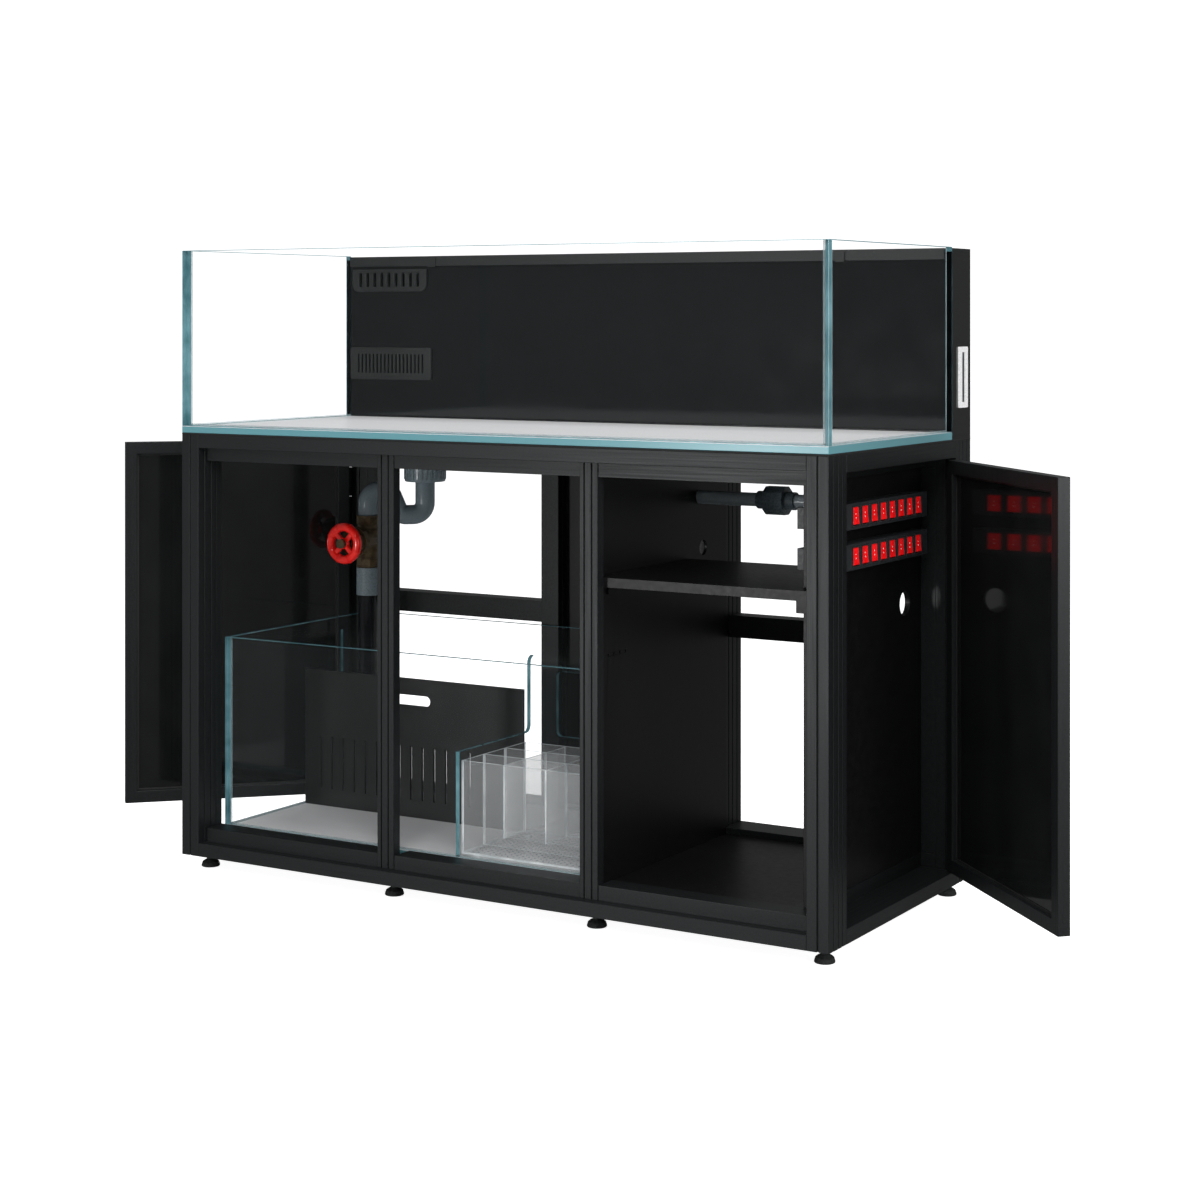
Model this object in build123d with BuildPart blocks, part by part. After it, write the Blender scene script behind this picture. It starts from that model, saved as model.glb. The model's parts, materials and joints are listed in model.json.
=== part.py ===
from build123d import *
import os

os.makedirs("parts", exist_ok=True)

# An aquarium on an open stand, in millimetres. The origin is on the floor at the centre of the
# stand's footprint: +X runs to the right along the front, +Y to the back, +Z up.

# ---------------------------------------------------------------- driving dimensions
LENGTH = 1350
DEPTH = 600
FOOT = 28                       # floor to the underside of the frame
STAND_TOP = 824
SIDE = LENGTH / 2
FRONT = -DEPTH / 2
BACK = DEPTH / 2

POST_W, POST_D = 40, 68         # corner posts, slotted extrusions
GROOVE_W, GROOVE_D = 3, 3
LIP, STEP = 25, 25              # a rail is a lip and, set back behind it, a step
LIP_TOP_SIDE = 30
REBATE = 20                     # how far the front steps stand behind the lip
SIDE_REBATE = 68                # the same on the sides, where the doors close
LEDGE = 27                      # width of a side rail's inner ledge
MID_W, MID_D, MID_X = 36, 20, 214
REAR_MID_X = 186
BAR_FRONT = FRONT + POST_D      # back face of the front posts
BAR_BACK = BACK - POST_D        # front face of the rear posts
INNER_X = SIDE - POST_W         # inner face of the corner posts
STEP_X = SIDE - SIDE_REBATE
LIP_Z = FOOT + LIP
STEP_Z = LIP_Z + STEP
TOP_LIP_Z = STAND_TOP - LIP
TOP_STEP_Z = TOP_LIP_Z - STEP
MID_RAIL_Z, MID_RAIL_H = 458, 42

PANEL = 10
FLOOR_Z = 66                    # top of the two floor boards
FLOOR_T = FLOOR_Z - 53
DIVIDER_X = 209                 # right-hand face of the board between sump and dry bay
DIVIDER_T = 6
SHELF_Z, SHELF_T, SHELF_BACK = 601, 17, 86

DOOR_T, DOOR_W, DOOR_RAIL = 22, 458, 24
DOOR_Z0, DOOR_Z1 = LIP_Z + 3, STAND_TOP - LIP_TOP_SIDE - 3
DOOR_OPEN = 45                  # how far both doors stand open at rest, in degrees
PIVOT_X, PIVOT_Y = SIDE + 5.5, BAR_BACK + 3
HINGE_Z = (DOOR_Z0 + 90, DOOR_Z1 - 90)
HINGE_H, PIN_R, KNUCKLE_R, LEAF_T = 60, 2.5, 5, 2

MAT_T = 3
GLASS, BASE_GLASS = 12, 13
TANK_Z = STAND_TOP + MAT_T
TANK_TOP = 1172
BOX_Y, BOX_T, BOX_TOP = 214, 6, 1164
LID_T = 6
COMB_X, COMB_W, COMB_H = -563, 186, 46
GRILLE_X, GRILLE_W, GRILLE_H, GRILLE_Z = -560, 203, 66, 950

SUMP_X0, SUMP_X1, SUMP_Y0, SUMP_Y1 = -629, 196, -230, 228
SUMP_TOP, SUMP_GLASS, SUMP_BASE = 435, 8, 10
WATER_FLOOR = FLOOR_Z + SUMP_BASE
STEP_BAFFLE_X = -92             # right-hand face of the stepped glass beside the rack
LOW_TOP, HIGH_TOP = 265, 408
SLOTTED_Y = 4
RACK_X0, RACK_X1, RACK_Y0, RACK_Y1 = -90, 176, -219, -6
RACK_TOP, RACK_T = 250, 3

PIPE_R, PIPE_T = 20, 2.5
VALVE_X, VALVE_Y, VALVE_Z = -578, 158, 590
DRAIN_X, BULKHEAD_Y = -497, 245
WHEEL_R, WHEEL_Y = 42.5, 78
RETURN_R, RETURN_Y, RETURN_Z = 12.5, 127, 712
RETURN_X0, RETURN_X1 = 110, 500

SWITCH_Z = (713, 645)
SWITCH_Y0, SWITCH_Y1, SWITCH_H = -200, 192, 44
SWITCH_FACE, SWITCH_REAR = 636, 568
ROCKERS, ROCKER_PITCH, ROCKER_Y0 = 8, 37.5, -112
ROCKER_W, ROCKER_H, ROCKER_TILT = 24, 31, 7


def finish(piece, label):
    """Name a finished sub-part and write it as its own file."""
    piece.part.label = label
    export_step(piece.part, f"parts/{label}.step")


def box_between(low, high, mode=Mode.ADD):
    """A block between two opposite corners."""
    size = [b - a for a, b in zip(low, high)]
    middle = [(a + b) / 2 for a, b in zip(low, high)]
    with Locations(tuple(middle)):
        Box(*size, mode=mode)


# ---------------------------------------------------------------- the frame of the stand
def corner_post_section(x_sign, y_sign):
    """The slotted outline of one corner post, its grooves measured from its outer face."""
    cx = x_sign * (SIDE - POST_W / 2)
    cy = y_sign * (BACK - POST_D / 2)
    with Locations((cx, cy)):
        Rectangle(POST_W, POST_D)
    with Locations((cx, cy - POST_D / 2), (cx, cy + POST_D / 2)):
        Rectangle(GROOVE_W, 2 * GROOVE_D, mode=Mode.SUBTRACT)
    for back in (17.5, 36, 51.5):
        y = y_sign * (BACK - back)
        with Locations((cx - POST_W / 2, y), (cx + POST_W / 2, y)):
            Rectangle(2 * GROOVE_D, GROOVE_W - 1, mode=Mode.SUBTRACT)


CORNERS = ((-1, -1), (1, -1), (-1, 1), (1, 1))
with BuildPart() as corner_posts:
    with BuildSketch(Plane.XY.offset(FOOT)):
        for x_sign, y_sign in CORNERS:
            corner_post_section(x_sign, y_sign)
    extrude(amount=STAND_TOP - FOOT)
finish(corner_posts, "corner_posts")

FRONT_MID_Y = FRONT + REBATE
with BuildPart() as inner_posts:
    with BuildSketch(Plane.XY.offset(LIP_Z)):
        for x in (-MID_X, MID_X):
            with Locations((x, FRONT_MID_Y + MID_D / 2)):
                Rectangle(MID_W, MID_D)
            with Locations((x - 9, FRONT_MID_Y), (x + 6, FRONT_MID_Y)):
                Rectangle(GROOVE_W - 1, 2 * GROOVE_D, mode=Mode.SUBTRACT)
    extrude(amount=TOP_LIP_Z - LIP_Z)
    with BuildSketch(Plane.XY.offset(STEP_Z)):
        for x in (-REAR_MID_X, REAR_MID_X):
            with Locations((x, BACK - POST_D / 2)):
                Rectangle(POST_W, POST_D)
            for back in (17.5, 36, 51.5):
                with Locations((x - POST_W / 2, BACK - back), (x + POST_W / 2, BACK - back)):
                    Rectangle(2 * GROOVE_D, GROOVE_W - 1, mode=Mode.SUBTRACT)
    extrude(amount=TOP_STEP_Z - STEP_Z)
    for x0, x1 in ((-INNER_X, -STEP_X), (STEP_X, INNER_X)):
        box_between((x0, BAR_BACK, STEP_Z), (x1, BACK - 10, TOP_STEP_Z))
finish(inner_posts, "inner_posts")

bay_edges = (
    (-INNER_X, -MID_X - MID_W / 2),
    (-MID_X + MID_W / 2, MID_X - MID_W / 2),
    (MID_X + MID_W / 2, INNER_X),
)
with BuildPart() as front_rails:
    for lip, step in (((FOOT, LIP_Z), (LIP_Z, STEP_Z)), ((TOP_LIP_Z, STAND_TOP), (TOP_STEP_Z, TOP_LIP_Z))):
        box_between((-INNER_X, FRONT, lip[0]), (INNER_X, BAR_FRONT, lip[1]))
        for x0, x1 in bay_edges:
            box_between((x0, FRONT_MID_Y + 2, step[0]), (x1, BAR_FRONT, step[1]))
finish(front_rails, "front_rails")

REAR_RAIL_Y = BACK - 30         # front face of the upper rear rail
with BuildPart() as rear_rails:
    box_between((-INNER_X, BAR_BACK, FOOT), (INNER_X, BACK, STEP_Z))
    box_between((-INNER_X, REAR_RAIL_Y, TOP_STEP_Z), (INNER_X, BACK, STAND_TOP))
    low, high = MID_RAIL_Z - MID_RAIL_H / 2, MID_RAIL_Z + MID_RAIL_H / 2
    near, far = REAR_MID_X + POST_W / 2, STEP_X
    box_between((-far, BAR_BACK + 16, low), (-near, BACK - 12, high))
    box_between((near, BAR_BACK + 16, low), (far, BACK - 12, high))
finish(rear_rails, "rear_rails")


with BuildPart() as side_rails:
    for sign in (-1, 1):
        inner, ledge, face = (sign * x for x in (STEP_X - LEDGE, STEP_X, SIDE))
        (x0, x1), (x2, x3) = sorted((inner, ledge)), sorted((ledge, face))
        box_between((x0, BAR_FRONT, FOOT), (x1, BAR_BACK, STEP_Z if sign > 0 else LIP_Z))
        box_between((x2, BAR_FRONT, FOOT), (x3, BAR_BACK, LIP_Z))
        box_between((x0, BAR_FRONT, TOP_STEP_Z), (x1, BAR_BACK, STAND_TOP))
        box_between((x2, BAR_FRONT, STAND_TOP - LIP_TOP_SIDE), (x3, BAR_BACK, STAND_TOP))
        x4, x5 = sorted((inner, sign * INNER_X))
        box_between((x4, BAR_BACK, TOP_STEP_Z), (x5, REAR_RAIL_Y, STAND_TOP))
finish(side_rails, "side_rails")

with BuildPart() as cross_bars:
    for x in (-MID_X, MID_X):
        box_between((x - MID_W / 2, BAR_FRONT, FOOT), (x + MID_W / 2, BAR_BACK, LIP_Z))
finish(cross_bars, "cross_bars")

FOOT_PLACES = [(x, y) for x in (-645, -MID_X, MID_X, 645) for y in (-252, 262)]
with BuildPart() as levelling_feet:
    for x, y in FOOT_PLACES:
        with BuildSketch(Plane.XZ.offset(-y)):
            with BuildLine():
                Polyline((x, 0), (x + 16, 0), (x + 17.5, 1.5), (x + 17.5, 5), (x + 15.5, 7))
                ThreePointArc((x + 15.5, 7), (x + 11.8, 14.5), (x + 7, 19))
                Polyline((x + 7, 19), (x + 7, FOOT), (x, FOOT), (x, 0))
            make_face()
        revolve(axis=Axis((x, y, 0), (0, 0, 1)))
finish(levelling_feet, "levelling_feet")

# ---------------------------------------------------------------- boards and panels
with BuildPart() as floor_boards:
    inner = STEP_X - LEDGE
    box_between((1 - INNER_X, BAR_FRONT, FLOOR_Z - FLOOR_T), (DIVIDER_X - DIVIDER_T, BAR_BACK, FLOOR_Z))
    box_between((DIVIDER_X, BAR_FRONT, FLOOR_Z - FLOOR_T), (inner, BAR_BACK, FLOOR_Z))
finish(floor_boards, "floor_boards")

CABLE_Y, CABLE_Z, CABLE_R = 141, 617, 14
PIN_HOLES_Z, PIN_HOLES_Y, PIN_HOLE_PITCH = 460, -176, 20
with BuildPart() as divider_board:
    box_between((DIVIDER_X - DIVIDER_T, BAR_FRONT, FLOOR_Z - FLOOR_T), (DIVIDER_X, BAR_BACK, TOP_STEP_Z))
    with Locations(Plane.YZ.offset(DIVIDER_X)):
        with Locations((CABLE_Y, CABLE_Z)):
            Hole(CABLE_R)
        with Locations((RETURN_Y, RETURN_Z)):
            Hole(RETURN_R + 1)
        with Locations((PIN_HOLES_Y, PIN_HOLES_Z)):
            with GridLocations(PIN_HOLE_PITCH, 0, 4, 1):
                Hole(2.5)
finish(divider_board, "divider_board")

HOLE_Y, HOLE_Z, HOLE_R = 160, 536, 22
STILE_LAP = 12                  # the side board runs on behind the rear stile
with BuildPart() as side_board:
    board_x = (STEP_X - PANEL, STEP_X)
    box_between((board_x[0], BAR_FRONT, STEP_Z), (board_x[1], BAR_BACK + STILE_LAP, TOP_STEP_Z))
    for z in SWITCH_Z:
        half = SWITCH_H / 2 - 4
        low = (board_x[0], SWITCH_Y0 + 4, z - half)
        box_between(low, (board_x[1], SWITCH_Y1 - 4, z + half), Mode.SUBTRACT)
    with Locations(Plane.YZ.offset(STEP_X)):
        with Locations((HOLE_Y, HOLE_Z)):
            Hole(HOLE_R)
finish(side_board, "side_board")

SHELF_FRONT, SHELF_END = FRONT_MID_Y + MID_D, STEP_X - PANEL
BRACKET_H, BRACKET_L, BRACKET_T = 18, 40, 3
with BuildPart() as shelf:
    under = SHELF_Z - SHELF_T
    box_between((DIVIDER_X, SHELF_FRONT, under), (SHELF_END, SHELF_BACK, SHELF_Z))
    tongue = (SHELF_END, SHELF_END + 35)
    box_between((tongue[0], SHELF_FRONT, under), (tongue[1], BAR_FRONT, SHELF_Z))
    box_between((tongue[0], SHELF_FRONT, under - BRACKET_L / 2), (tongue[1], BAR_FRONT - 8, under))
    for x, inwards in ((DIVIDER_X, 1), (SHELF_END, -1)):
        flange = sorted((x, x + inwards * BRACKET_H))
        wall = sorted((x, x + inwards * BRACKET_T))
        for y in (-210, 20):
            box_between((flange[0], y, under - BRACKET_T), (flange[1], y + BRACKET_L, under))
            box_between((wall[0], y, under - BRACKET_H), (wall[1], y + BRACKET_L, under - BRACKET_T))
finish(shelf, "shelf")

REAR_BOARD_Y = 262
with BuildPart() as rear_board:
    edge = REAR_MID_X - POST_W / 2
    box_between((-edge, REAR_BOARD_Y, STEP_Z), (edge, REAR_BOARD_Y + 8, TOP_STEP_Z))
finish(rear_board, "rear_board")

BULKHEADS = (DRAIN_X, RETURN_X1)
DECK_T = 12
with BuildPart() as deck_board:
    inner = STEP_X - LEDGE
    box_between((-inner, BAR_FRONT, STAND_TOP - DECK_T), (inner, BAR_BACK, STAND_TOP))
    for x in BULKHEADS:
        box_between((x - 50, BAR_BACK - 40, STAND_TOP - DECK_T), (x + 50, BAR_BACK, STAND_TOP), Mode.SUBTRACT)
finish(deck_board, "deck_board")

# ---------------------------------------------------------------- doors and hinges
def door_plane(sign):
    """At rest the doors stand open: x runs from the pin to the free edge, z is up."""
    return Plane(
        origin=(sign * PIVOT_X, PIVOT_Y, 0),
        x_dir=Vector(0, -1, 0).rotate(Axis.Z, sign * DOOR_OPEN),
        z_dir=(0, 0, 1),
    )


def slab(sign, u, v, z, mode=Mode.ADD):
    """A block in the door's plane: u along the door, v outwards from the pin, z up."""
    v0, v1 = sorted((sign * v[0], sign * v[1]))
    box_between((u[0], v0, z[0]), (u[1], v1, z[1]), mode)


DOOR_U = (6, 6 + DOOR_W)
DOOR_V = (SIDE - PIVOT_X - DOOR_T, SIDE - PIVOT_X)
DOOR_PANEL_V = (DOOR_V[0] + 9, DOOR_V[0] + 13)


def door(sign, side):
    """One framed door, its board and the two hinge leaves screwed to its outer face."""
    inner_u = (DOOR_U[0] + DOOR_RAIL, DOOR_U[1] - DOOR_RAIL)
    inner_z = (DOOR_Z0 + DOOR_RAIL, DOOR_Z1 - DOOR_RAIL)
    with BuildPart(door_plane(sign)) as frame:
        slab(sign, DOOR_U, DOOR_V, (DOOR_Z0, DOOR_Z1))
        slab(sign, inner_u, DOOR_V, inner_z, Mode.SUBTRACT)
    finish(frame, f"{side}_door_frame")

    with BuildPart(door_plane(sign)) as board:
        slab(sign, inner_u, DOOR_PANEL_V, inner_z)
    finish(board, f"{side}_door_board")

    with BuildPart(door_plane(sign)) as leaves:
        for z in HINGE_Z:
            knuckle = (z - HINGE_H / 6 + 0.3, z + HINGE_H / 6 - 0.3)
            slab(sign, (6.5, 32), (DOOR_V[1], DOOR_V[1] + LEAF_T), (z - HINGE_H / 2, z + HINGE_H / 2))
            slab(sign, (0, 6.5), (DOOR_V[1], DOOR_V[1] + LEAF_T), knuckle)
            with Locations((0, 0, z)):
                Cylinder(KNUCKLE_R, knuckle[1] - knuckle[0])
                Cylinder(PIN_R + 0.05, HINGE_H, mode=Mode.SUBTRACT)
    finish(leaves, f"{side}_door_leaves")


door(-1, "left")
door(1, "right")

with BuildPart() as hinge_leaves:
    for sign in (-1, 1):
        for z in HINGE_Z:
            plate_x = sorted((sign * SIDE, sign * (SIDE + LEAF_T)))
            plate_z = (z - HINGE_H / 2, z + HINGE_H / 2)
            box_between((plate_x[0], PIVOT_Y + 6, plate_z[0]), (plate_x[1], PIVOT_Y + 30, plate_z[1]))
            for half in (-1, 1):
                low, high = sorted((z + half * HINGE_H / 6, z + half * HINGE_H / 2))
                box_between((plate_x[0], PIVOT_Y, low), (plate_x[1], PIVOT_Y + 6, high))
                with Locations((sign * PIVOT_X, PIVOT_Y, (low + high) / 2)):
                    Cylinder(KNUCKLE_R, high - low)
            with Locations((sign * PIVOT_X, PIVOT_Y, z)):
                Cylinder(PIN_R, HINGE_H)
finish(hinge_leaves, "hinge_leaves")

# ---------------------------------------------------------------- the display tank
GLASS_Z = TANK_Z + BASE_GLASS
with BuildPart() as foam_mat:
    box_between((-SIDE, FRONT, STAND_TOP), (SIDE, BACK, TANK_Z))
    with Locations((DRAIN_X, BULKHEAD_Y, TANK_Z), (RETURN_X1, BULKHEAD_Y, TANK_Z)):
        Hole(23)
finish(foam_mat, "foam_mat")

with BuildPart() as tank_base:
    box_between((-SIDE, FRONT, TANK_Z), (SIDE, BOX_Y, GLASS_Z))
    chamfer(tank_base.edges().group_by(Axis.Y)[0].filter_by(Axis.X), 1)
finish(tank_base, "tank_base")

with BuildPart() as tank_panes:
    box_between((-SIDE, FRONT, GLASS_Z), (SIDE, FRONT + GLASS, TANK_TOP))
    for x0, x1 in ((-SIDE, GLASS - SIDE), (SIDE - GLASS, SIDE)):
        box_between((x0, FRONT + GLASS, GLASS_Z), (x1, BOX_Y, TANK_TOP))
finish(tank_panes, "tank_panes")

BOX_IN_Y0, BOX_IN_Y1 = BOX_Y + BOX_T, BACK - BOX_T
COMB_TOP = 1144
with BuildPart() as overflow_wall:
    box_between((-SIDE, BOX_Y, TANK_Z), (SIDE, BOX_IN_Y0, BOX_TOP))
    with Locations(Plane.XZ.offset(-BOX_Y)):
        with Locations((COMB_X, COMB_TOP - COMB_H / 2 + 4)):
            Box(COMB_W - 16, COMB_H - 16, 4 * BOX_T, mode=Mode.SUBTRACT)
        with Locations((GRILLE_X, GRILLE_Z)):
            Box(GRILLE_W - 24, GRILLE_H - 24, 4 * BOX_T, mode=Mode.SUBTRACT)
finish(overflow_wall, "overflow_wall")

BAFFLE_T = 5
BAFFLE_X = (-370, 430)          # they part the drain, filter and return chambers
BOX_FLOOR = TANK_Z + BOX_T
GLUE = 0.05                     # the cement line keeps the sheets apart
with BuildPart() as overflow_box:
    box_between((-SIDE, BOX_IN_Y0, TANK_Z), (SIDE, BACK, BOX_FLOOR))
    with Locations((DRAIN_X, BULKHEAD_Y, BOX_FLOOR)):
        Hole(22, depth=2 * BOX_T)
    with Locations((RETURN_X1, BULKHEAD_Y, BOX_FLOOR)):
        Hole(16, depth=2 * BOX_T)
    box_between((-SIDE, BOX_IN_Y1, BOX_FLOOR + GLUE), (SIDE, BACK, BOX_TOP))
    for x in (-SIDE, SIDE - BOX_T):
        box_between((x, BOX_IN_Y0, BOX_FLOOR + GLUE), (x + BOX_T, BOX_IN_Y1 - GLUE, BOX_TOP))
    for x in BAFFLE_X:
        box_between((x, BOX_IN_Y0, BOX_FLOOR + GLUE), (x + BAFFLE_T, BOX_IN_Y1 - GLUE, BOX_TOP - 60))
finish(overflow_box, "overflow_box")

LID_LIP = 20
with BuildPart() as overflow_lid:
    box_between((-SIDE, BOX_Y + 0.5, BOX_TOP), (SIDE, BACK, BOX_TOP + LID_T))
    end, top = SIDE - GLASS - 1, BOX_TOP + LID_T
    box_between((-end, BOX_Y - 0.5, BOX_TOP), (end, BOX_Y + 0.5, top))
    box_between((-end, BOX_Y - 6, top - LID_LIP), (end, BOX_Y - 0.5, top))
    for x in (-453, 458):
        box_between((x - 9, BOX_Y - 10, top - LID_LIP - 2), (x + 9, BOX_Y - 6, top - 5))
finish(overflow_lid, "overflow_lid")

COMB_SLOTS, COMB_PITCH, COMB_T = 9, 18, 5
with BuildPart() as weir_comb:
    with BuildSketch(Plane.XZ.offset(-BOX_Y)) as comb_outline:
        with Locations((COMB_X, COMB_TOP - COMB_H / 2)):
            Rectangle(COMB_W, COMB_H)
        fillet(comb_outline.vertices().group_by(Axis.Y)[0], 16)
        with Locations((COMB_X, COMB_TOP - COMB_H / 2 + 1)):
            with GridLocations(COMB_PITCH, 0, COMB_SLOTS, 1):
                SlotOverall(COMB_H - 16, 8, rotation=90, mode=Mode.SUBTRACT)
    extrude(amount=COMB_T)
finish(weir_comb, "weir_comb")

GRILLE_SLOTS, GRILLE_PITCH, GRILLE_T = 18, 9.5, 4
with BuildPart() as intake_grille:
    with BuildSketch(Plane.XZ.offset(-BOX_Y)) as grille_outline:
        with Locations((GRILLE_X, GRILLE_Z)):
            Rectangle(GRILLE_W, GRILLE_H)
        fillet(grille_outline.vertices(), 5)
        with Locations((GRILLE_X, GRILLE_Z)):
            with GridLocations(GRILLE_PITCH, 0, GRILLE_SLOTS, 1):
                SlotOverall(GRILLE_H - 26, 4.5, rotation=90, mode=Mode.SUBTRACT)
    extrude(amount=GRILLE_T)
finish(intake_grille, "intake_grille")

FRAME_Y, FRAME_Z, FRAME_W, FRAME_H = 261, 938, 40, 110
with BuildPart() as side_frame:
    with BuildSketch(Plane.YZ.offset(SIDE)):
        with Locations((FRAME_Y, FRAME_Z)):
            RectangleRounded(FRAME_W, FRAME_H, 3)
            Rectangle(FRAME_W - 26, FRAME_H - 20, mode=Mode.SUBTRACT)
    extrude(amount=3)
finish(side_frame, "side_frame")

# ---------------------------------------------------------------- the sump
with BuildPart() as sump_base:
    box_between((SUMP_X0, SUMP_Y0, FLOOR_Z), (SUMP_X1, SUMP_Y1, WATER_FLOOR))
finish(sump_base, "sump_base")

SUMP_IN_X0, SUMP_IN_X1 = SUMP_X0 + SUMP_GLASS, SUMP_X1 - SUMP_GLASS
SUMP_IN_Y0, SUMP_IN_Y1 = SUMP_Y0 + SUMP_GLASS, SUMP_Y1 - SUMP_GLASS
with BuildPart() as sump_walls:
    for y in (SUMP_Y0, SUMP_IN_Y1):
        box_between((SUMP_X0, y, WATER_FLOOR), (SUMP_X1, y + SUMP_GLASS, SUMP_TOP))
    box_between((SUMP_IN_X0, SUMP_IN_Y0, WATER_FLOOR), (SUMP_IN_X1, SUMP_IN_Y1, SUMP_TOP), Mode.SUBTRACT)
    for x in (SUMP_X0, SUMP_IN_X1):
        box_between((x, SUMP_IN_Y0, WATER_FLOOR), (x + SUMP_GLASS, SUMP_IN_Y1, SUMP_TOP))
finish(sump_walls, "sump_walls")

STEP_Y, STEP_R = 15, 14
REAR_BAFFLE_Y = 123
WINDOW_X, WINDOW_Z, WINDOW_W, WINDOW_H, WINDOW_BAFFLE_Y = 43, 319, 178, 122, 33
with BuildPart() as sump_baffles:
    with BuildSketch(Plane.YZ.offset(STEP_BAFFLE_X)):
        with BuildLine():
            FilletPolyline(
                (STEP_Y - 60, LOW_TOP), (STEP_Y, LOW_TOP), (STEP_Y, HIGH_TOP), (STEP_Y + 60, HIGH_TOP),
                radius=STEP_R,
            )
            Polyline(
                (STEP_Y + 60, HIGH_TOP), (SUMP_IN_Y1, HIGH_TOP), (SUMP_IN_Y1, WATER_FLOOR),
                (SUMP_IN_Y0, WATER_FLOOR), (SUMP_IN_Y0, LOW_TOP), (STEP_Y - 60, LOW_TOP),
            )
        make_face()
    extrude(amount=-SUMP_GLASS)
    low_back = (SUMP_IN_X0, REAR_BAFFLE_Y, WATER_FLOOR + 30)
    box_between(low_back, (STEP_BAFFLE_X - SUMP_GLASS, REAR_BAFFLE_Y + SUMP_GLASS, HIGH_TOP))
    with BuildSketch(Plane.XZ.offset(-WINDOW_BAFFLE_Y)):
        with Locations(((STEP_BAFFLE_X + SUMP_IN_X1) / 2, (WATER_FLOOR + HIGH_TOP) / 2)):
            Rectangle(SUMP_IN_X1 - STEP_BAFFLE_X, HIGH_TOP - WATER_FLOOR)
        with Locations((WINDOW_X, WINDOW_Z)):
            RectangleRounded(WINDOW_W, WINDOW_H, 10, mode=Mode.SUBTRACT)
    extrude(amount=-SUMP_GLASS)
finish(sump_baffles, "sump_baffles")

PANEL_X0, PANEL_X1, PANEL_TOP = SUMP_IN_X0 + 2, STEP_BAFFLE_X - SUMP_GLASS - 2, 345
SLOT_X0, SLOT_PITCH, SLOT_COUNT, SLOT_Z, SLOT_H, SLOT_W = -579, 27.3, 14, 162, 104, 4
HANDLE_Z, HANDLE_W, HANDLE_H = 303, 90, 20
with BuildPart() as slotted_panel:
    with BuildSketch(Plane.XZ.offset(-SLOTTED_Y)) as panel_outline:
        middle = (PANEL_X0 + PANEL_X1) / 2
        with Locations((middle, (WATER_FLOOR + PANEL_TOP) / 2)):
            Rectangle(PANEL_X1 - PANEL_X0, PANEL_TOP - WATER_FLOOR)
        with Locations((middle, HANDLE_Z)):
            SlotOverall(HANDLE_W, HANDLE_H, mode=Mode.SUBTRACT)
        for index in range(SLOT_COUNT):
            with Locations((SLOT_X0 + index * SLOT_PITCH, SLOT_Z)):
                SlotOverall(SLOT_H, SLOT_W, rotation=90, mode=Mode.SUBTRACT)
    extrude(amount=-6)
finish(slotted_panel, "slotted_panel")

RACK_CELLS = 3
with BuildPart() as media_rack:
    box_between((RACK_X0, RACK_Y0, WATER_FLOOR + 6), (RACK_X1, RACK_Y1, RACK_TOP))
    cell_x = (RACK_X1 - RACK_X0 - RACK_T) / RACK_CELLS
    cell_y = (RACK_Y1 - RACK_Y0 - RACK_T) / RACK_CELLS
    with Locations(((RACK_X0 + RACK_X1) / 2, (RACK_Y0 + RACK_Y1) / 2, RACK_TOP)):
        with GridLocations(cell_x, cell_y, RACK_CELLS, RACK_CELLS):
            depth = RACK_TOP - WATER_FLOOR - 6 - RACK_T
            Box(cell_x - RACK_T, cell_y - RACK_T, 2 * depth, mode=Mode.SUBTRACT)
    for x in (RACK_X0 + 20, RACK_X1 - 20):
        for y in (RACK_Y0 + 20, RACK_Y1 - 20):
            with Locations((x, y, WATER_FLOOR + 3)):
                Cylinder(6, 6)
finish(media_rack, "media_rack")

# ---------------------------------------------------------------- plumbing
def elbowed_pipe(points, radius, wall, bend):
    """A pipe along straight runs joined by elbows."""
    with BuildPart() as pipe:
        with BuildLine() as route:
            FilletPolyline(*points, radius=bend)
        with BuildSketch(Plane(route.line ^ 0)):
            Circle(radius)
            Circle(radius - wall, mode=Mode.SUBTRACT)
        sweep(path=route.line)
    return pipe


COLLAR_R, COLLAR_Z0, COLLAR_Z1, FLANGE_T = 42, 708, 768, 5
BOX_FLOOR = TANK_Z + BOX_T
UNION_X, UNION_L, UNION_R = 370, 40, 27
with BuildPart() as pipe_fittings:
    for x, neck, collar in ((DRAIN_X, 21.5, COLLAR_R), (RETURN_X1, 15.5, 24)):
        with BuildSketch(Plane.XZ.offset(-BULKHEAD_Y)):
            with BuildLine():
                Polyline(
                    (x, COLLAR_Z0), (x + collar - 2, COLLAR_Z0), (x + collar, COLLAR_Z0 + 2),
                    (x + collar, COLLAR_Z1 - 2), (x + collar - 2, COLLAR_Z1), (x + neck, COLLAR_Z1),
                    (x + neck, BOX_FLOOR), (x + neck + 3, BOX_FLOOR), (x + neck + 3, BOX_FLOOR + FLANGE_T),
                    (x, BOX_FLOOR + FLANGE_T), close=True,
                )
            make_face()
        revolve(axis=Axis((x, BULKHEAD_Y, 0), (0, 0, 1)))
        with Locations((x, BULKHEAD_Y, BOX_FLOOR + FLANGE_T)):
            Hole(neck - 4)
    with BuildSketch(Plane.YZ.offset(UNION_X - UNION_L / 2)):
        with Locations((RETURN_Y, RETURN_Z)):
            RegularPolygon(UNION_R, 10)
            Circle(RETURN_R, mode=Mode.SUBTRACT)
    extrude(amount=UNION_L)
    for x in (UNION_X - UNION_L / 2 - 18, UNION_X + UNION_L / 2):
        with BuildSketch(Plane.YZ.offset(x)):
            with Locations((RETURN_Y, RETURN_Z)):
                Circle(RETURN_R + 4)
                Circle(RETURN_R, mode=Mode.SUBTRACT)
        extrude(amount=18)
finish(pipe_fittings, "pipe_fittings")

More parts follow.
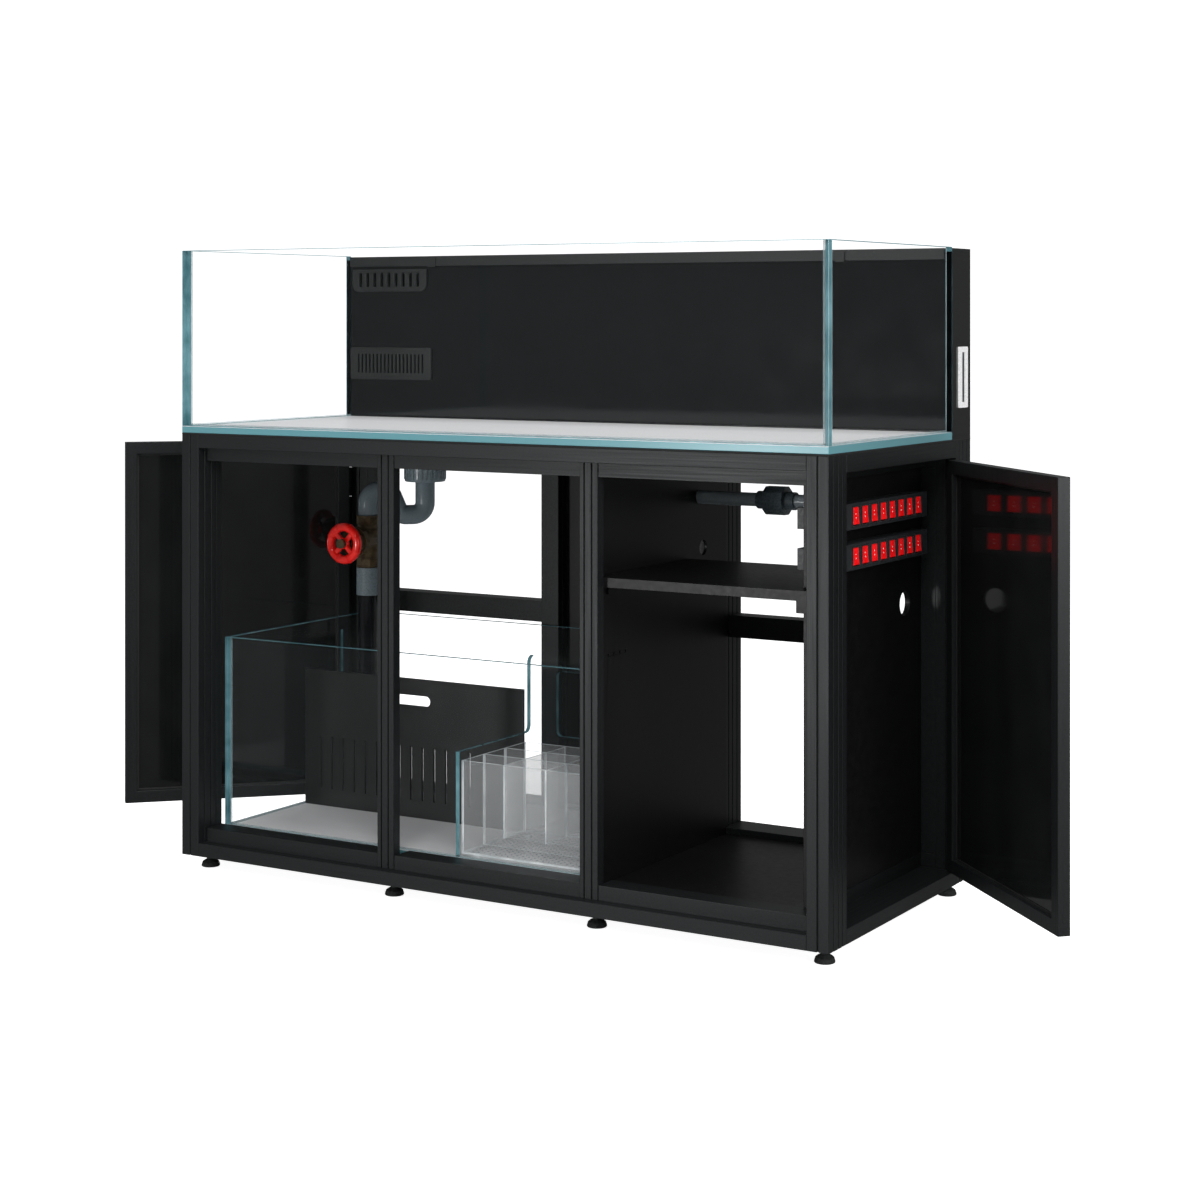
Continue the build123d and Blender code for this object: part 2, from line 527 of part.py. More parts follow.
PORT_Z0, PORT_Z1, PORT_R = 536, 641, 20.5
drain_route = (
    (DRAIN_X, BULKHEAD_Y, COLLAR_Z0),
    (DRAIN_X, BULKHEAD_Y, 640),
    (DRAIN_X - 36, BULKHEAD_Y - 38, 640),
    (DRAIN_X - 50, BULKHEAD_Y - 54, 690),
    (VALVE_X, VALVE_Y, 690),
    (VALVE_X, VALVE_Y, PORT_Z1),
)
drain_pipe = elbowed_pipe(drain_route, PIPE_R, PIPE_T, (24, 20, 20, 24))
finish(drain_pipe, "drain_pipe")

BONNET_R, BONNET_Y0, GLAND_R, GLAND_Y0, STEM_R = 25, 95, 12, 86, 4.5
GATE_T, GATE_W, GATE_Y0, GATE_Y1, GATE_TRAVEL = 12, 32, 100, 141, 33
with BuildPart() as valve_body:
    with Locations((VALVE_X, VALVE_Y, (PORT_Z0 + PORT_Z1) / 2)):
        Cylinder(PORT_R, PORT_Z1 - PORT_Z0)
    with Locations((VALVE_X, VALVE_Y, VALVE_Z)):
        Cylinder(24, 46)
    for z in (PORT_Z0 + 9, PORT_Z1 - 9):
        with BuildSketch(Plane((VALVE_X, VALVE_Y, z - 9))):
            RegularPolygon(23, 8)
        extrude(amount=18)
    with BuildSketch(Plane.XZ.offset(-VALVE_Y)):
        with Locations((VALVE_X, VALVE_Z)):
            Circle(BONNET_R)
    extrude(amount=VALVE_Y - BONNET_Y0)
    with BuildSketch(Plane.XZ.offset(-VALVE_Y + 34)):
        with Locations((VALVE_X, VALVE_Z)):
            RegularPolygon(31, 8)
    extrude(amount=11)
    with BuildSketch(Plane.XZ.offset(-BONNET_Y0)):
        with Locations((VALVE_X, VALVE_Z)):
            RegularPolygon(GLAND_R, 6)
    extrude(amount=BONNET_Y0 - GLAND_Y0)
    with Locations((VALVE_X, VALVE_Y, (PORT_Z0 + PORT_Z1) / 2)):
        Cylinder(16, PORT_Z1 - PORT_Z0, mode=Mode.SUBTRACT)
    pocket = (GATE_W / 2 + 0.5, GATE_T / 2 + 0.5)
    box_between(
        (VALVE_X - pocket[0], BONNET_Y0 + 4, VALVE_Z - pocket[1]),
        (VALVE_X + pocket[0], VALVE_Y + 17, VALVE_Z + pocket[1]),
        Mode.SUBTRACT,
    )
    with Locations(Plane.XZ.offset(-BONNET_Y0 - 4)):
        with Locations((VALVE_X, VALVE_Z)):
            Cylinder(STEM_R + 0.05, 60, mode=Mode.SUBTRACT)
finish(valve_body, "valve_body")

with BuildPart() as valve_gate:
    with BuildSketch(Plane.XY.offset(VALVE_Z - GATE_T / 2)):
        with Locations((VALVE_X, (GATE_Y0 + GATE_Y1) / 2)):
            Rectangle(GATE_W, GATE_Y1 - GATE_Y0)
    extrude(amount=GATE_T)
    fillet(valve_gate.edges().filter_by(Axis.Z).group_by(Axis.Y)[-1], 12)
    with Locations(Plane.XZ.offset(-GATE_Y0)):
        with Locations((VALVE_X, VALVE_Z)):
            Hole(STEM_R + 0.3, depth=36)
finish(valve_gate, "valve_gate")

HUB_R, HUB_Y0, HUB_Y1, CAP_R = 11, 72, 84, 9.5
RIM_TUBE = 9.5
RIM_R = WHEEL_R - RIM_TUBE
with BuildPart() as valve_stem:
    with BuildSketch(Plane.XZ.offset(-HUB_Y0 + 5)):
        with Locations((VALVE_X, VALVE_Z)):
            Circle(STEM_R)
    extrude(amount=-(GATE_Y0 + 33 - HUB_Y0 + 5))
    with BuildSketch(Plane.XZ.offset(-HUB_Y0)):
        with Locations((VALVE_X, VALVE_Z)):
            Circle(CAP_R)
    extrude(amount=8)
finish(valve_stem, "valve_stem")

with BuildPart() as handwheel:
    with Locations(Location((VALVE_X, WHEEL_Y, VALVE_Z), (90, 0, 0))):
        Torus(RIM_R, RIM_TUBE)
    for turn in (0, 90):
        with Locations(Location((VALVE_X, WHEEL_Y, VALVE_Z), (0, 45 + turn, 0))):
            Box(2 * RIM_R, 5, 8)
    with BuildSketch(Plane.XZ.offset(-HUB_Y0)):
        with Locations((VALVE_X, VALVE_Z)):
            Circle(HUB_R)
    extrude(amount=-(HUB_Y1 - HUB_Y0))
    with Locations(Plane.XZ.offset(-HUB_Y0)):
        with Locations((VALVE_X, VALVE_Z)):
            Cylinder(STEM_R, 60, mode=Mode.SUBTRACT)
finish(handwheel, "handwheel")

SOCKET_R, SOCKET_H, PIPE_END = 22.5, 52, 120
with BuildPart() as down_pipe:
    with Locations((VALVE_X, VALVE_Y, (PORT_Z0 + PIPE_END) / 2)):
        Cylinder(PIPE_R, PORT_Z0 - PIPE_END)
    with Locations((VALVE_X, VALVE_Y, PORT_Z0 - SOCKET_H / 2 - 3)):
        Cylinder(SOCKET_R, SOCKET_H)
    with Locations((VALVE_X, VALVE_Y, PORT_Z0)):
        Hole(PIPE_R - PIPE_T)
finish(down_pipe, "down_pipe")

return_pipe = elbowed_pipe(
    (
        (RETURN_X0, RETURN_Y, 150), (RETURN_X0, RETURN_Y, RETURN_Z), (RETURN_X1, RETURN_Y, RETURN_Z),
        (RETURN_X1, RETURN_Y, 660), (RETURN_X1, BULKHEAD_Y, 660), (RETURN_X1, BULKHEAD_Y, COLLAR_Z0),
    ),
    RETURN_R, 2, 18,
)
finish(return_pipe, "return_pipe")

# ---------------------------------------------------------------- switch boxes
ROCKER_X = SWITCH_FACE - 9
rocker_ys = [ROCKER_Y0 + index * ROCKER_PITCH for index in range(ROCKERS)]
for row, z in zip(("upper", "lower"), SWITCH_Z):
    with BuildPart() as switch_box:
        box_between((STEP_X, SWITCH_Y0, z - SWITCH_H / 2), (SWITCH_FACE, SWITCH_Y1, z + SWITCH_H / 2))
        back = SWITCH_H / 2 - 4
        box_between((SWITCH_REAR, SWITCH_Y0 + 4, z - back), (STEP_X, SWITCH_Y1 - 4, z + back))
        for y in rocker_ys:
            box_between(
                (ROCKER_X - 13, y - ROCKER_W / 2 - 0.5, z - ROCKER_H / 2 - 1.7),
                (SWITCH_FACE, y + ROCKER_W / 2 + 0.5, z + ROCKER_H / 2 + 1.7),
                Mode.SUBTRACT,
            )
    finish(switch_box, f"switch_box_{row}")

    for index, y in enumerate(rocker_ys, 1):
        with BuildPart() as rocker:
            out = Vector(1, 0, 0).rotate(Axis.Y, -ROCKER_TILT)
            with BuildSketch(Plane((ROCKER_X, y + ROCKER_W / 2, z), x_dir=out, z_dir=(0, -1, 0))):
                with BuildLine():
                    half = ROCKER_H / 2
                    Polyline(
                        (-8, 2 - half), (9, -half), (10.9, -half), (9, 0), (10.9, half), (9, half),
                        (-8, half - 2), close=True,
                    )
                make_face()
            extrude(amount=ROCKER_W)
        finish(rocker, f"rocker_{row}_{index}")
print("parts written")
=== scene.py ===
"""Finishes and fine pieces of a rimless aquarium on an aluminium stand with a glass sump."""

import json
import math

import bmesh
import bpy
from bpy.props import FloatProperty, FloatVectorProperty, IntProperty, PointerProperty
from mathutils import Matrix, Vector


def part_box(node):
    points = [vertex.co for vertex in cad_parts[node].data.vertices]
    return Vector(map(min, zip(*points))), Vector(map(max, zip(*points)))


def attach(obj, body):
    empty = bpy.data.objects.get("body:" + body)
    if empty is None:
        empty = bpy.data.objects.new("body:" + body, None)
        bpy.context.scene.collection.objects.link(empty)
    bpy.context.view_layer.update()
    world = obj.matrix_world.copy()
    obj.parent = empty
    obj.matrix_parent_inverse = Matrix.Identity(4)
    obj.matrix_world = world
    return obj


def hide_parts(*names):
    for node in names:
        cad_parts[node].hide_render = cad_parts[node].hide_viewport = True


bl_info = {
    "name": "Rimless Aquarium on a Stand",
    "version": (1, 0, 0),
    "blender": (4, 5, 0),
    "location": "3D View > Sidebar > Aquarium",
    "description": "Finishes an aquarium, its black extrusion stand, glass sump, plumbing and switches",
    "category": "Object",
}

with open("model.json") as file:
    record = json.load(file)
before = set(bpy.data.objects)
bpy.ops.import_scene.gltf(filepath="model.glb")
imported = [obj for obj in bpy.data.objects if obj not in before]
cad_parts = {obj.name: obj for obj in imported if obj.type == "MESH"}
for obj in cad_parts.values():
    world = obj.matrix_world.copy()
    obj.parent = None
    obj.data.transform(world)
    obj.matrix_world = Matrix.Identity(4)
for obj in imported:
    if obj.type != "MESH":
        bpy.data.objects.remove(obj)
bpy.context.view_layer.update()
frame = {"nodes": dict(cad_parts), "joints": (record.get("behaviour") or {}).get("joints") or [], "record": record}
NODES = frame["nodes"]
SLOT_OF = {row["node"]: row["material_slot"] for row in frame["record"]["subparts"]}

MM = 0.001
ROCKER_PREFIX = "rocker_"
GLASS = ("clear_glass", "glass_edge")
X_AXIS, Y_AXIS, Z_AXIS = Vector((1, 0, 0)), Vector((0, 1, 0)), Vector((0, 0, 1))
WELD = 0.02 * MM                            # points closer than this are one point

# places in the frame, in metres
BRACKET_SCREW_X, BRACKET_SCREW_Z = 0.232, (0.45, 0.466)
INNER_FOOT_X = 0.214
DOOR_PIVOT, DOOR_REST_TURN = (0.6805, 0.235), math.radians(45)
COLLAR_Y, COLLAR_Z = 0.245, 0.738
DRAIN_COLLAR_X, RETURN_COLLAR_X = -0.497, 0.5
SOCKET_Z = 0.507
VALVE_PORT_Y, VALVE_BOLT_Y, VALVE_NUT_Y = 0.158, 0.113, 0.0955


# ---------------------------------------------------------------- small helpers
def linear(code, alpha=1.0):
    """The linear colour of an sRGB hex value such as "3a4347"."""
    shares = [int(code[i : i + 2], 16) / 255 for i in (0, 2, 4)]
    return [s / 12.92 if s <= 0.04045 else ((s + 0.055) / 1.055) ** 2.4 for s in shares] + [alpha]


def add_node(tree, kind, settings=None, values=None, links=None):
    """Adds a node with its settings, its sockets' constants and its sockets' sources."""
    node = tree.nodes.new(kind)
    for name, value in (settings or {}).items():
        setattr(node, name, value)
    for socket, value in (values or {}).items():
        node.inputs[socket].default_value = value
    for socket, source in (links or {}).items():
        tree.links.new(source, node.inputs[socket])
    return node


def new_material(name, base, roughness, **constants):
    """A material with a principled shader whose constants sit on its own sockets."""
    material = bpy.data.materials.new(name)
    material.use_nodes = True
    tree = material.node_tree
    shader = tree.nodes["Principled BSDF"]
    shader.inputs["Base Color"].default_value = linear(base)
    shader.inputs["Roughness"].default_value = roughness
    for socket, value in constants.items():
        shader.inputs[socket.replace("_", " ")].default_value = value
    return material, tree, shader


def noise_of(tree, size_mm, detail=3.0, stretch=(1, 1, 1)):
    """A noise whose largest grain measures size_mm, stretched along the axes."""
    place = add_node(tree, "ShaderNodeTexCoord")
    scaled = add_node(
        tree, "ShaderNodeMapping", values={"Scale": [1 / s for s in stretch]},
        links={"Vector": place.outputs["Object"]},
    )
    return add_node(
        tree, "ShaderNodeTexNoise", values={"Scale": 1 / (size_mm * MM), "Detail": detail},
        links={"Vector": scaled.outputs["Vector"]},
    )


def colour_ramp(tree, source, dark, light, low=0.35, high=0.65):
    """Turns a pattern into a colour between two tones."""
    ramp = add_node(tree, "ShaderNodeValToRGB", links={"Fac": source})
    for element, position, tone in zip(ramp.color_ramp.elements, (low, high), (dark, light)):
        element.position = position
        element.color = linear(tone)
    return ramp.outputs["Color"]


def vary_colour(tree, shader, source, *tones):
    """Lets a pattern move the base colour between two tones."""
    tree.links.new(colour_ramp(tree, source, *tones), shader.inputs["Base Color"])


def vary_roughness(tree, shader, source, low, high):
    """Lets a pattern move the roughness between two values."""
    spread = add_node(
        tree, "ShaderNodeMapRange",
        values={"From Min": 0.3, "From Max": 0.7, "To Min": low, "To Max": high}, links={"Value": source},
    )
    tree.links.new(spread.outputs["Result"], shader.inputs["Roughness"])


def raise_surface(tree, shader, source, depth_mm, strength=0.3):
    """Lets a pattern lift the surface by depth_mm."""
    bump = add_node(
        tree, "ShaderNodeBump", values={"Strength": strength, "Distance": depth_mm * MM},
        links={"Height": source},
    )
    tree.links.new(bump.outputs["Normal"], shader.inputs["Normal"])


def move_with(tree, shader, source, moves):
    """Lets a pattern move the colour, the roughness and the surface, where moves names them."""
    for kind, move in (("tones", vary_colour), ("rough", vary_roughness), ("bump", raise_surface)):
        if kind in moves:
            move(tree, shader, source, *moves[kind])


def patterned(name, base, roughness, *layers, **constants):
    """A material with layers of noise; each has its grain in mm, its detail and what it moves."""
    material, tree, shader = new_material(name, base, roughness, **constants)
    for grain_mm, detail, moves in layers:
        noise = noise_of(tree, grain_mm, detail, moves.get("stretch", (1, 1, 1)))
        move_with(tree, shader, noise.outputs["Fac"], moves)
    return material


# ---------------------------------------------------------------- finishes
def anodised_aluminium(name, along):
    """Extruded aluminium, bead-blasted and black anodised: faint die lines and a fine sparkle."""
    # real grit is 0.1 mm, drawn coarser so that it shows
    sparkle = (2.4, 2.0, {"tones": ("131516", "232627", 0.3, 0.75), "bump": (0.05, 0.25)})
    lines = (3.0, 4.0, {"stretch": along, "rough": (0.36, 0.46)})
    return patterned(name, "1c1e1f", 0.4, sparkle, lines, Metallic=0.3)


def foamed_pvc_board():
    """Black foamed PVC board: satin skin with a soft, wide orange peel."""
    peel = (9.0, 2.0, {"tones": ("0d0d0e", "131314"), "rough": (0.36, 0.42), "bump": (0.01, 0.1)})
    return patterned("black_foamed_pvc_board", "161718", 0.4, peel, Specular_IOR_Level=0.3)


def gloss_acrylic(name="black_cast_acrylic", tone="08090a", light="0c0d0e", rough=(0.05, 0.11)):
    """Cast black acrylic: glossy, with handling marks that mostly change the roughness."""
    return patterned(name, tone, rough[0], (70.0, 5.0, {"tones": (tone, light), "rough": rough}), IOR=1.49)


def moulded_rubber():
    """Moulded black rubber: dusty, matte and slightly pitted."""
    dust = (4.0, 4.0, {"tones": ("191a1a", "2f3131"), "bump": (0.1, 0.3)})
    return patterned("moulded_black_rubber", "232425", 0.7, dust)


def closed_cell_foam():
    """Closed-cell foam: matte, with fine open bubbles on its cut edge, their hollows painted darker as painted
    shade.
    """
    material, tree, shader = new_material("closed_cell_foam", "121212", 0.85)
    place = add_node(tree, "ShaderNodeTexCoord")
    bubbles = add_node(
        tree, "ShaderNodeTexVoronoi", values={"Scale": 1 / (1.6 * MM)},
        links={"Vector": place.outputs["Object"]},
    )
    # painted shade: each bubble's hollow is darker than its rim, on top of the real dent that the bump makes
    moves = {"tones": ("080808", "1d1d1d", 0.1, 0.7), "bump": (0.3, 0.4)}
    move_with(tree, shader, bubbles.outputs["Distance"], moves)
    return material


def powder_coated_steel():
    """Powder-coated steel: even satin black with orange peel."""
    peel = (2.0, 2.0, {"tones": ("151617", "232425"), "bump": (0.05, 0.4)})
    return patterned("powder_coated_steel", "1c1d1e", 0.4, peel)


def backed_base_glass():
    """Base glass over a mottled white backing: the top is pale and speckled, the cut edge is blue-green."""
    material, tree, shader = new_material("white_backed_base_glass", "d2d3d5", 0.16)
    mottle = noise_of(tree, 3.0, 4.0)
    clouds = noise_of(tree, 60.0, 3.0)
    mixed = add_node(
        tree, "ShaderNodeMix", {"data_type": "FLOAT"}, {0: 0.35},
        {2: mottle.outputs["Fac"], 3: clouds.outputs["Fac"]},
    )
    backing = colour_ramp(tree, mixed.outputs[0], "e2e3e4", "ebebec", 0.3, 0.7)
    facing = add_node(tree, "ShaderNodeNewGeometry")
    parts = add_node(tree, "ShaderNodeSeparateXYZ", links={"Vector": facing.outputs["Normal"]})
    level = add_node(tree, "ShaderNodeMath", {"operation": "GREATER_THAN"}, {1: 0.7}, {0: parts.outputs["Z"]})
    both = add_node(
        tree, "ShaderNodeMix", {"data_type": "RGBA"}, {6: linear("5c8d95")},
        {0: level.outputs[0], 7: backing},
    )
    tree.links.new(both.outputs[2], shader.inputs["Base Color"])
    vary_roughness(tree, shader, mottle.outputs["Fac"], 0.17, 0.23)
    return material


def clear_sheet(name, tone, alpha):
    """The large face of a clear sheet: almost unseen, with a faint tint and a clean gloss."""
    return patterned(name, tone, 0.02, (120.0, 2.0, {"rough": (0.01, 0.04)}), Alpha=alpha)


def ground_edge(name, dark, light, alpha=1.0):
    """A ground and polished sheet edge: its colour gathers along the thickness and shifts gently."""
    return patterned(name, light, 0.12, (45.0, 3.0, {"tones": (dark, light)}), Alpha=alpha)


def moulded_plastic(name, dark, light, roughness, grain_mm=3.0):
    """Moulded plastic: an even colour with a fine spark-eroded grain."""
    rough = (roughness - 0.06, roughness + 0.08)
    grain = (grain_mm, 3.0, {"tones": (dark, light), "rough": rough, "bump": (0.04, 0.25)})
    return patterned(name, light, roughness, grain)


def cast_bronze():
    """Sand-cast bronze left to tarnish: dull brown with brighter rubbed spots and a grainy skin."""
    tarnish = (9.0, 5.0, {"tones": ("4a3d2a", "6f5f43", 0.3, 0.7), "rough": (0.28, 0.55)})
    grain = (1.4, 2.0, {"bump": (0.15, 0.5)})
    return patterned("tarnished_cast_bronze", "5a4a34", 0.4, tarnish, grain, Metallic=0.45)


def red_enamel():
    """Dipped red enamel on a casting: wet gloss, thinner and darker where it ran off."""
    runs = (12.0, 3.0, {"tones": ("f01410", "ff2a20"), "bump": (0.15, 0.3)})
    return patterned("red_enamel", "ff1a12", 0.2, runs, Coat_Weight=0.6, Coat_Roughness=0.05)


def lit_polycarbonate():
    """Translucent red polycarbonate of a lit rocker: saturated and slightly glowing."""
    glow = {"Emission_Color": linear("ff1014"), "Emission_Strength": 0.22}
    depth = (14.0, 2.0, {"tones": ("d51216", "f52024")})
    return patterned("red_lit_polycarbonate", "ee1a1c", 0.25, depth, **glow)


def pad_print():
    """White pad-printed ink, slightly worn."""
    return patterned("white_pad_print", "f6f6f6", 0.5, (2.0, 2.0, {"rough": (0.4, 0.6)}))


def silicone_sealant(name, tone):
    """Tooled aquarium silicone: smooth, rubbery and a little uneven."""
    drag = (18.0, 2.0, {"rough": (0.2, 0.4), "bump": (0.2, 0.3)})
    return patterned(name, tone, 0.3, drag, Alpha=0.4)


def make_finishes():
    """Every finish by the name that the operators use."""
    return {
        "black_anodised": anodised_aluminium("black_anodised_upright", (1, 1, 60)),
        "black_anodised_x": anodised_aluminium("black_anodised_rail", (60, 1, 1)),
        "black_anodised_y": anodised_aluminium("black_anodised_side_rail", (1, 60, 1)),
        "black_board": foamed_pvc_board(),
        "door_gloss": gloss_acrylic("black_gloss_door_board", "101111", "151616", (0.05, 0.09)),
        "black_acrylic": gloss_acrylic(),
        "satin_acrylic": gloss_acrylic("black_satin_acrylic", "101111", "151616", (0.28, 0.34)),
        "foot_rubber": moulded_rubber(),
        "hinge_steel": powder_coated_steel(),
        "foam": closed_cell_foam(),
        "white_base_glass": backed_base_glass(),
        "clear_glass": clear_sheet("float_glass_face", "838b8c", 0.012),
        "glass_edge": ground_edge("float_glass_edge", "456f77", "6b959d"),
        "white_plastic": moulded_plastic("white_moulded_abs", "e4e4e4", "f4f4f4", 0.3),
        "clear_acrylic": clear_sheet("clear_acrylic_face", "dfe2e3", 0.07),
        "hazed_acrylic": clear_sheet("hazed_acrylic_face", "e6e8e9", 0.3),
        "acrylic_edge": ground_edge("clear_acrylic_edge", "b9c4c8", "f2f6f7", 0.8),
        "grey_pvc": moulded_plastic("dark_grey_pvc", "6c797f", "748187", 0.2, 2.0),
        # grey PVC for the return pipe, painted paler than the other pipes: painted light that makes up for the
        # shade under the deck
        "grey_pvc_painted_lit": moulded_plastic("grey_pvc_pipe_painted_lit", "a3afb4", "acb8bd", 0.22, 2.0),
        "black_pvc": moulded_plastic("black_pvc_pipe", "141618", "1a1c1e", 0.2, 2.0),
        "fitting_grey": moulded_plastic("grey_pvc_fitting", "6a777d", "728086", 0.28, 3.0),
        "valve_bronze": cast_bronze(),
        "red_paint": red_enamel(),
        "switch_black": moulded_plastic("black_moulded_nylon", "25282a", "303335", 0.42, 2.5),
        "rocker_red": lit_polycarbonate(),
        "grille_black": moulded_plastic("charcoal_moulded_abs", "141616", "1c1e1e", 0.42, 3.0),
        "print_white": pad_print(),
        "clear_silicone": silicone_sealant("clear_silicone", "8fa3a6"),
        "black_silicone": silicone_sealant("black_silicone", "141516"),
        "seal_rubber": moulded_plastic("black_seal_rubber", "151616", "202121", 0.6, 4.0),
    }


FINISHES = {}


def paint_nodes(*names):
    """Gives CAD nodes the finish of their slot."""
    for name in names:
        mesh = NODES[name].data
        mesh.materials.clear()
        mesh.materials.append(FINISHES[SLOT_OF[name]])


def soften_edges(width_mm, *names):
    """Rounds a CAD node's sharp edges a little: its loose triangles are welded first."""
    for name in names:
        weld = NODES[name].modifiers.new("weld", "WELD")
        weld.merge_threshold = WELD
        bevel = NODES[name].modifiers.new("edge_break", "BEVEL")
        bevel.width = width_mm * MM
        bevel.segments = 2
        bevel.limit_method = "ANGLE"
        bevel.angle_limit = math.radians(50)
        bevel.harden_normals = False


# ---------------------------------------------------------------- mesh building
def new_piece(name, mesh, body, materials):
    """A finished piece: its mesh in the row frame, riding on a body."""
    piece = bpy.data.objects.new(name, mesh)
    bpy.context.scene.collection.objects.link(piece)
    for material in materials or ():
        mesh.materials.append(FINISHES[material])
    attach(piece, body)
    return piece


def to_mesh(name, builder, smooth=False):
    """The mesh of a bmesh, its faces pointing outwards."""
    mesh = bpy.data.meshes.new(name)
    bmesh.ops.recalc_face_normals(builder, faces=builder.faces)
    builder.to_mesh(mesh)
    builder.free()
    if smooth:
        mesh.shade_smooth()
        mesh.set_sharp_from_angle(angle=math.radians(35))
    return mesh


def pour(builder, part):
    """Adds one bmesh's faces to another."""
    carrier = bpy.data.meshes.new("carrier")
    part.to_mesh(carrier)
    part.free()
    builder.from_mesh(carrier)
    bpy.data.meshes.remove(carrier)


def new_box(low, high):
    """A plain box between two corners, in a bmesh of its own."""
    part = bmesh.new()
    bmesh.ops.create_cube(part, size=1)
    low, high = Vector(low), Vector(high)
    for vertex in part.verts:
        vertex.co = Vector((low[i] + (vertex.co[i] + 0.5) * (high[i] - low[i]) for i in range(3)))
    return part


def break_edges(part, edge_mm, **settings):
    """Rounds every edge of a bmesh."""
    bmesh.ops.bevel(
        part, geom=part.edges, offset=edge_mm * MM, segments=2, profile=0.5, affect="EDGES", **settings
    )


def settle(builder, part, index, placing):
    """Gives a part's faces their finish, places the part and adds it to the builder."""
    for face in part.faces:
        face.material_index = index
    if placing is not None:
        part.transform(placing)
    pour(builder, part)


def aimed(centre, axis):
    """Places a part that is made round Z: its Z follows the axis, its origin is the centre."""
    return Matrix.Translation(centre) @ Vector(axis).to_track_quat("Z", "Y").to_matrix().to_4x4()


def block(builder, low, high, edge_mm=0.6, index=0, turn=None):
    """A box with broken edges; turn places it after it is made."""
    part = new_box(low, high)
    break_edges(part, edge_mm, clamp_overlap=True)
    settle(builder, part, index, turn)


def pane(builder, low, high, chamfer_mm=0.7):
    """A sheet with chamfered edges: its two large faces take the first finish, its edges the second."""
    part = new_box(low, high)
    thin = min(range(3), key=lambda i: high[i] - low[i])
    bmesh.ops.bevel(part, geom=part.edges, offset=chamfer_mm * MM, segments=1, affect="EDGES")
    part.normal_update()
    for face in part.faces:
        face.material_index = 0 if abs(face.normal[thin]) > 0.99 else 1
    pour(builder, part)


def in_mm(profile, closed=False):
    """A profile given in millimetres; a closed one ends where it starts."""
    return [(r * MM, h * MM) for r, h in profile + (profile[:1] if closed else [])]


def lathe(builder, profile, centre, axis=Z_AXIS, steps=48, index=0):
    """Turns a profile of (radius, height) points about an axis; a radius of 0 closes at a pole."""
    part = bmesh.new()
    rings = []
    for radius, height in profile:
        if radius < 1e-7:
            rings.append([part.verts.new((0, 0, height))])
        else:
            angles = (2 * math.pi * i / steps for i in range(steps))
            ring = [(radius * math.cos(a), radius * math.sin(a), height) for a in angles]
            rings.append([part.verts.new(point) for point in ring])
    for near, far in zip(rings, rings[1:]):
        for i in range(steps):
            j = (i + 1) % steps
            corners = [near[i % len(near)], near[j % len(near)], far[j % len(far)], far[i % len(far)]]
            part.faces.new(list(dict.fromkeys(corners)))
    settle(builder, part, index, aimed(centre, axis))


def hexagon(builder, radius, height, centre, axis=Z_AXIS, edge_mm=0.8):
    """A hexagonal nut that stands on the centre, its edges broken."""
    part = bmesh.new()
    bmesh.ops.create_cone(
        part, cap_ends=True, segments=6, radius1=radius, radius2=radius, depth=height,
        matrix=Matrix.Translation((0, 0, height / 2)),
    )
    break_edges(part, edge_mm)
    settle(builder, part, 0, aimed(centre, axis))


def bridge(builder, near, far):
    """A closed body between two rings of points."""
    rings = [[builder.verts.new(point) for point in ring] for ring in (near, far)]
    for i in range(len(near)):
        j = (i + 1) % len(near)
        builder.faces.new([rings[0][i], rings[0][j], rings[1][j], rings[1][i]])
    builder.faces.new(rings[0][::-1])
    builder.faces.new(rings[1])


def bead(builder, start, end, side_a, side_b, size):
    """A tooled bead of sealant along an inner corner, hollow between its two feet."""
    a, b = Vector(side_a) * size, Vector(side_b) * size
    section = [Vector((0, 0, 0)), a, (a * 0.55 + b * 0.1), (a * 0.3 + b * 0.3), (a * 0.1 + b * 0.55), b]
    bridge(builder, *([Vector(place) + offset for offset in section] for place in (start, end)))


# ---------------------------------------------------------------- geometry node trees
def new_tree(name, inputs):
    """A geometry tree with named inputs and one mesh output."""
    tree = bpy.data.node_groups.new(name, "GeometryNodeTree")
    tree.interface.new_socket("Geometry", in_out="INPUT", socket_type="NodeSocketGeometry")
    for label, kind in inputs.items():
        tree.interface.new_socket(label, in_out="INPUT", socket_type=kind)
    tree.interface.new_socket("Geometry", in_out="OUTPUT", socket_type="NodeSocketGeometry")
    return tree, add_node(tree, "NodeGroupInput")


def close_tree(tree, entry, points, copied, turn=None):
    """Ends a tree: copies on its points, made real, with the finish that the tree is given."""
    links = {"Points": points, "Instance": copied}
    if turn is not None:
        links["Rotation"] = turn.outputs[0]
    placed = add_node(tree, "GeometryNodeInstanceOnPoints", links=links)
    real = add_node(tree, "GeometryNodeRealizeInstances", links={"Geometry": placed.outputs[0]})
    painted = add_node(
        tree, "GeometryNodeSetMaterial",
        links={"Geometry": real.outputs[0], "Material": entry.outputs["Finish"]},
    )
    add_node(tree, "NodeGroupOutput", links={0: painted.outputs[0]})
    return tree


def single_point(name):
    """A mesh of one point, for a tree that makes its own shape."""
    mesh = bpy.data.meshes.new(name)
    mesh.from_pydata([(0, 0, 0)], [], [])
    return mesh


def run_tree(name, tree, mesh, values):
    """Runs a tree on a mesh and returns the result as a plain mesh."""
    holder = bpy.data.objects.new(name + "_seed", mesh)
    bpy.context.scene.collection.objects.link(holder)
    modifier = holder.modifiers.new("pattern", "NODES")
    modifier.node_group = tree
    for item in tree.interface.items_tree:
        if item.in_out == "INPUT" and item.name in values:
            modifier[item.identifier] = values[item.name]
    graph = bpy.context.evaluated_depsgraph_get()
    made = bpy.data.meshes.new_from_object(holder.evaluated_get(graph), depsgraph=graph)
    made.name = name
    bpy.data.objects.remove(holder)
    return made


